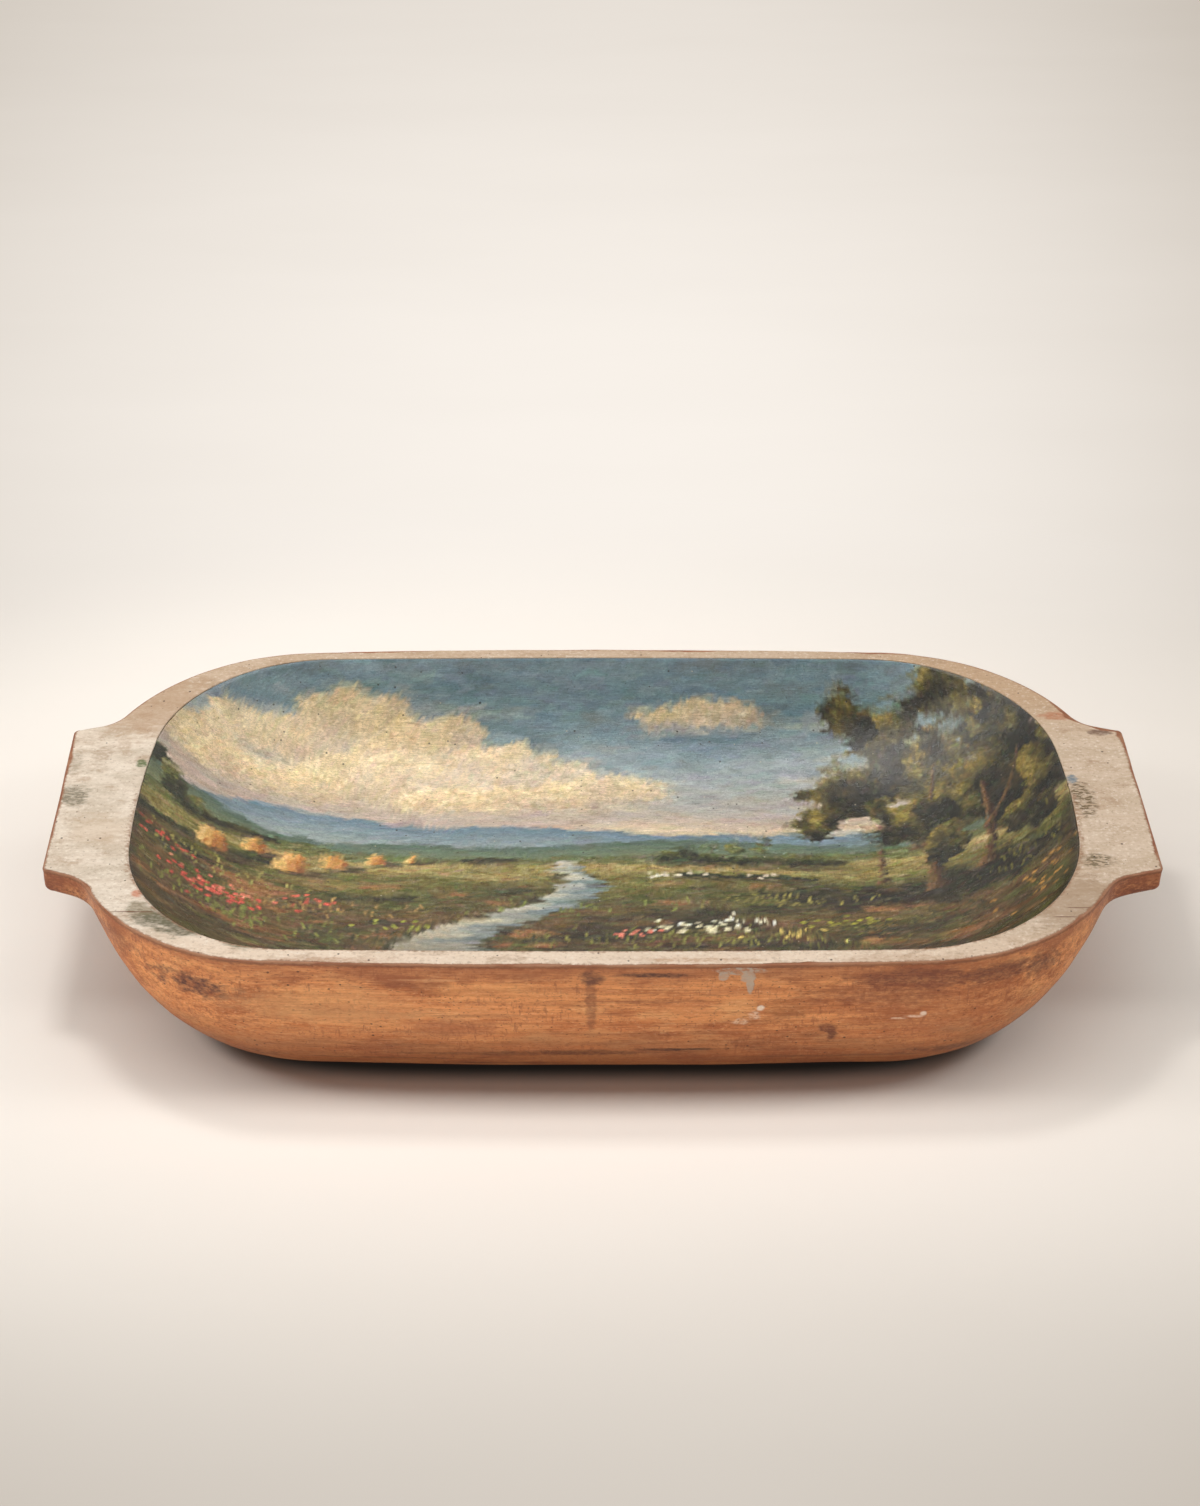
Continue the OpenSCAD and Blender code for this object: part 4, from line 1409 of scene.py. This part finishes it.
def grey_paint():
    """Old matt paint, warm pale grey: faintly brushed along X, mottled with brown, a painted highlight
    at the front, browner with painted shade at the back and right end, grimy at both edges, speckled."""
    material, net = new_material("grey_paint")
    step, place = net.step, net.place()
    x, y, _ = net.axes(place)
    fine, streak, mottle = fibres(net, place)
    blotch = net.noise(place, (20, 11, 11), 5.0, 0.7)
    crust = net.noise(place, (2.6, 2.1, 2.1), 4.0, 0.65)
    # Where the rim is darker and browner: the back and the right end, browner paint and painted shade
    rear = net.total((step(y, 0.04, 0.15), 0.72), (step(x, 0.12, 0.32), 0.5))
    dots = specks(net, place, (6, 6, 6), 0.34, 0.16)
    pits = specks(net, place, (2.4, 2.2, 2.2), 0.3, 0.24)
    cracks = joined(net, place, [on_rim(*crack, CRACK_BREAKUP) for crack in RIM_CRACKS], 0.5, 0.3)
    grime = step(net.add(net.attribute("edge"), net.swing(crust, 2.0)), 0.35, 1.1)

    colour = net.tint(tone(221, 206, 188), tone(197, 181, 161), step(mottle, 0.4, 0.66))
    colour = net.coats(colour, [
        (step(streak, 0.5, 0.7), 0.3, (184, 158, 132)),
        # Painted highlight: the front of the rim is lighter
        (step(y, -0.13, -0.16), 0.7, (230, 206, 182)),
        # Browner paint and painted shade: darker at the back and towards the right end
        (rear, 1.0, (184, 154, 124)),
        (step(blotch, 0.5, 0.66), 0.5, (166, 136, 108)),
        (step(crust, 0.54, 0.7), 0.42, (142, 114, 90)),
        (step(crust, 0.46, 0.32), 0.35, (246, 238, 226)),
        (step(fine, 0.56, 0.74), 0.3, (164, 138, 114)),
    ])
    colour = marked(net, place, colour, [on_rim(*mark) for mark in RIM_MARKS], 1.4, 0.55)
    colour = net.coats(colour, [
        (cracks, 0.8, (112, 72, 50)),
        (dots, 0.85, (62, 42, 30)),
        (pits, 0.45, (112, 84, 62)),
        (grime, 0.7, (138, 94, 64)),
    ])
    height = net.total(
        (fine, 0.35), (crust, 0.6), (mottle, 0.3), (dots, -0.6), (pits, -0.4), (cracks, -1.0)
    )
    surface(net, colour, step(blotch, 0.3, 0.7, 0.6, 0.76), height, 0.3 * MM)
    return material


# How far the paint's curls shift the dabs of the leaves, in metres
DAB_WAVE = 1.6 * MM


def leaf_dabs(net, place, curls):
    """Two random draws for each dab of leaf paint, on cells that the paint's curls bend."""
    wave = net.vector_math("SCALE", {0: curls.node.outputs["Color"], 3: DAB_WAVE})
    wavy = net.vector_math("ADD", {0: place, 1: wave})
    cell = {"Vector": net.stretch(wavy, (3.0, 2.1, 2.1)), "Scale": 1.0}
    dabs = net.put("ShaderNodeTexVoronoi", cell, None).outputs["Color"]
    draws = net.put("ShaderNodeSeparateColor", {"Color": dabs}, None).outputs
    return draws["Red"], draws["Green"]


def varnished_picture():
    """The picture's own colours under an old varnish: dabs in the leaves and blades in the grass,
    brush hairs, fine crackle and specks."""
    material, net = new_material("varnished_picture")
    step, place = net.step, net.place()
    colour, relief = net.attribute("paint", "Color"), net.attribute("relief")
    leafy, grassy = net.attribute("leafy"), net.attribute("grassy")
    hairs = net.noise(place, (9, 0.9, 0.9), 4.0, 0.65)
    curls = net.noise(place, (1.9, 1.0, 1.0), 4.0, 0.75)
    worn = net.noise(place, (34, 22, 22), 4.0, 0.65)
    blades = net.noise(place, (1.3, 5.0, 3.2), 3.0, 0.65)
    deep, lit = leaf_dabs(net, place, curls)
    cell = {"Vector": net.stretch(place, (4.5, 3.2, 3.2)), "Scale": 1.0}
    edges = net.put("ShaderNodeTexVoronoi", cell, "Distance", feature="DISTANCE_TO_EDGE")
    crackle = net.times(step(edges, 0.06, 0.0), step(worn, 0.4, 0.6))
    dots = specks(net, place, (6, 6, 6), 0.36, 0.16)
    grains = specks(net, place, (2.4, 2.0, 2.0), 0.22, 0.22)
    sparks = specks(net, place, (8, 6, 6), 0.3, 0.09)
    dark = net.put("ShaderNodeHueSaturation", {"Value": 0.5, "Color": colour})
    light = net.put("ShaderNodeHueSaturation", {"Value": 1.6, "Saturation": 0.9, "Color": colour})
    colour = net.coats(colour, [
        (step(deep, 0.5, 0.7), net.times(leafy, 0.6), dark),
        (step(lit, 0.66, 0.84), net.times(leafy, 0.7), light),
        (step(blades, 0.52, 0.66), net.times(grassy, 0.6), dark),
        (step(blades, 0.44, 0.32), net.times(grassy, 0.6), light),
        (step(hairs, 0.52, 0.72), 0.6, dark),
        (step(hairs, 0.48, 0.3), 0.5, light),
        (step(curls, 0.53, 0.68), 0.65, dark),
        (step(curls, 0.46, 0.32), 0.6, light),
        (crackle, 0.35, dark),
        (step(worn, 0.5, 0.75), 0.2, (120, 92, 52)),
        (dots, 0.8, (36, 28, 20)),
        (grains, 0.45, (48, 36, 24)),
        (sparks, 0.6, (226, 212, 184)),
    ])
    height = net.total((relief, 1.2), (hairs, 0.4), (curls, 0.5), (crackle, -0.2), (dots, -0.4))
    surface(net, colour, step(worn, 0.35, 0.65, 0.22, 0.33), height, 0.35 * MM)
    return material


def dress(piece, material):
    piece.data.materials.clear()
    piece.data.materials.append(material)


# Floor, lamps and camera

# Camera: lens and sensor height in millimetres, place in metres and angle from straight down
LENS = 59.5
SENSOR_HIGH = 36.0
CAMERA_PLACE = (0.0013, -1.3124, 1.0514)
CAMERA_TILT = 55
# Half the picture's width at one metre from the camera
HALF_VIEW = 0.241
# The floor near the bowl is lit, out to this share of an oval, and is a plain backdrop from the next
LIT_OVAL = (0.62, 0.42, 1.0)
LIT_WITHIN, PLAIN_BEYOND = 0.82, 1.35
FLOOR_HALF = 9.0
# The painted contact shadow where the foot meets the floor: its half length and half width in
# metres, the power that squares off its oval, and the sum of powers within which it is fully dark
CONTACT_SHADOW_HALF = (0.27, 0.17)
CONTACT_SHADOW_POWER = 5.0
CONTACT_SHADOW_SOLID = 0.58


def floor_material():
    """A warm white floor that takes the bowl's shadow, with a painted contact shadow close round the
    foot, where the powers of x and y over the patch's halves add up to under 1. Away from the bowl it
    fades into a backdrop tone. Painted shade in its colour darkens it to the back, to the front and,
    with the square of the side distance over the distance in front of the camera, to both sides."""
    material, net = new_material("pale_floor")
    place = net.place()
    x, y, _ = net.axes(place)
    away_y, away_z = math.sin(math.radians(CAMERA_TILT)), math.cos(math.radians(CAMERA_TILT))
    ahead = CAMERA_PLACE[2] * away_z - CAMERA_PLACE[1] * away_y
    depth = net.math("MAXIMUM", net.add(net.times(y, away_y), ahead), 1.2)
    # Painted shade: the floor's colour darkens to both sides, the back and the front, as a fall of light
    side = net.math("DIVIDE", x, net.times(depth, HALF_VIEW))
    sides = net.times(net.times(side, side), net.step(side, -0.3, 0.5, 0.36, 0.52))
    sides = net.times(sides, net.step(y, -0.2, 0.5, 0.45, 1.0))
    ends = net.add(net.step(y, 0.6, 2.1, 0.0, 0.42), net.step(y, -0.2, -0.56, 0.0, 0.8))
    cloudy = net.swing(net.noise(place, (500, 160, 160), 3.0, 0.55), 0.12)
    shade = net.add(net.add(sides, ends), cloudy)
    colour = net.tint(tone(249, 242, 234), tone(200, 191, 180), shade)
    # Painted contact shadow: the floor's colour goes nearly black close round the foot
    powers = [
        net.math("POWER", net.math("ABSOLUTE", net.times(value, 1 / half)), CONTACT_SHADOW_POWER)
        for value, half in zip((x, y), CONTACT_SHADOW_HALF)
    ]
    contact_shadow = net.step(net.add(*powers), 1.0, CONTACT_SHADOW_SOLID)
    colour = net.coats(colour, [(contact_shadow, 0.93, (18, 13, 10))])
    away = net.vector_math("DIVIDE", {0: place, 1: LIT_OVAL})
    away = net.vector_math("LENGTH", {0: away}, "Value")
    lit = net.put("ShaderNodeBsdfPrincipled", {"Base Color": colour, "Roughness": 0.9})
    plain = net.put("ShaderNodeEmission", {"Color": colour, "Strength": 1.0})
    share = net.times(net.seen_directly(), net.step(away, LIT_WITHIN, PLAIN_BEYOND))
    both = net.put("ShaderNodeMixShader", {0: share, 1: lit, 2: plain})
    net.put("ShaderNodeOutputMaterial", {"Surface": both}, None)
    return material


def pale_floor():
    """One square plane under the foot."""
    mesh = bpy.data.meshes.new("floor")
    corners = [(FLOOR_HALF * x, FLOOR_HALF * y, 0) for x, y in ((-1, -1), (1, -1), (1, 1), (-1, 1))]
    mesh.from_pydata(corners, [], [(0, 1, 2, 3)])
    floor = bpy.data.objects.new("floor", mesh)
    bpy.context.scene.collection.objects.link(floor)
    dress(floor, floor_material())


def lamp(name, place, aim, size, power, colour):
    """A soft box at a place, turned to face the point aimed at."""
    light = bpy.data.lights.new(name, "AREA")
    light.shape = "RECTANGLE"
    light.size, light.size_y = size
    light.energy = power
    light.color = colour
    holder = bpy.data.objects.new(name, light)
    holder.location = place
    way = np.array(aim) - np.array(place)
    way = way / np.linalg.norm(way)
    holder.rotation_euler = (math.acos(-way[2]), 0.0, -math.atan2(way[0], way[1]))
    bpy.context.scene.collection.objects.link(holder)


def studio():
    """A long soft box overhead, one past each of its ends, a small one behind to the left, a low one
    in front, and an even room."""
    plain, warm = (0.99, 0.985, 0.97), (1.0, 0.99, 0.97)
    for name, x, y, z, size, power, colour in (
        ("overhead", -0.2, 0.03, 1.6, (4.6, 0.4), 27.0, plain),
        ("left_end", -1.8, 0.03, 1.3, (0.8, 0.4), 14.0, plain),
        ("right_end", 1.7, 0.03, 1.3, (0.8, 0.4), 11.5, plain),
        ("rear", -0.36, 0.47, 1.5, (0.32, 0.22), 7.0, warm),
    ):
        lamp(name, (x, y, z), (x, y, 0), size, power, colour)
    lamp("front_fill", (-0.9, -2.7, 0.19), (0, 0, 0.05), (2.0, 0.24), 32.0, (1.0, 0.97, 0.93))
    world = bpy.data.worlds.new("room")
    bpy.context.scene.world = world
    world.use_nodes = True
    world.node_tree.nodes.clear()
    net = Net(world.node_tree)
    seen = net.seen_directly()
    room = net.put("ShaderNodeBackground", {"Color": (1.0, 0.99, 0.97, 1.0), "Strength": 0.08})
    shown = net.put("ShaderNodeBackground", {"Color": tone(232, 225, 217), "Strength": 1.0})
    both = net.put("ShaderNodeMixShader", {0: seen, 1: room, 2: shown})
    net.put("ShaderNodeOutputWorld", {"Surface": both}, None)


def photo_camera():
    """The camera at the photograph's angle, 35 degrees above level, looking along +Y."""
    camera = bpy.data.cameras.new("camera")
    camera.sensor_fit = "VERTICAL"
    camera.sensor_height = SENSOR_HIGH
    camera.lens = LENS
    camera.clip_end = 60.0
    holder = bpy.data.objects.new("camera", camera)
    holder.location = CAMERA_PLACE
    holder.rotation_euler = (math.radians(CAMERA_TILT), 0.0, 0.0)
    bpy.context.scene.collection.objects.link(holder)
    bpy.context.scene.camera = holder


photo_camera()
studio()
pale_floor()
dress(carved_body(), worn_wood())
dress(rim_coat(), grey_paint())
dress(picture_coat(), varnished_picture())

view = bpy.context.scene.view_settings
view.view_transform = "Standard"
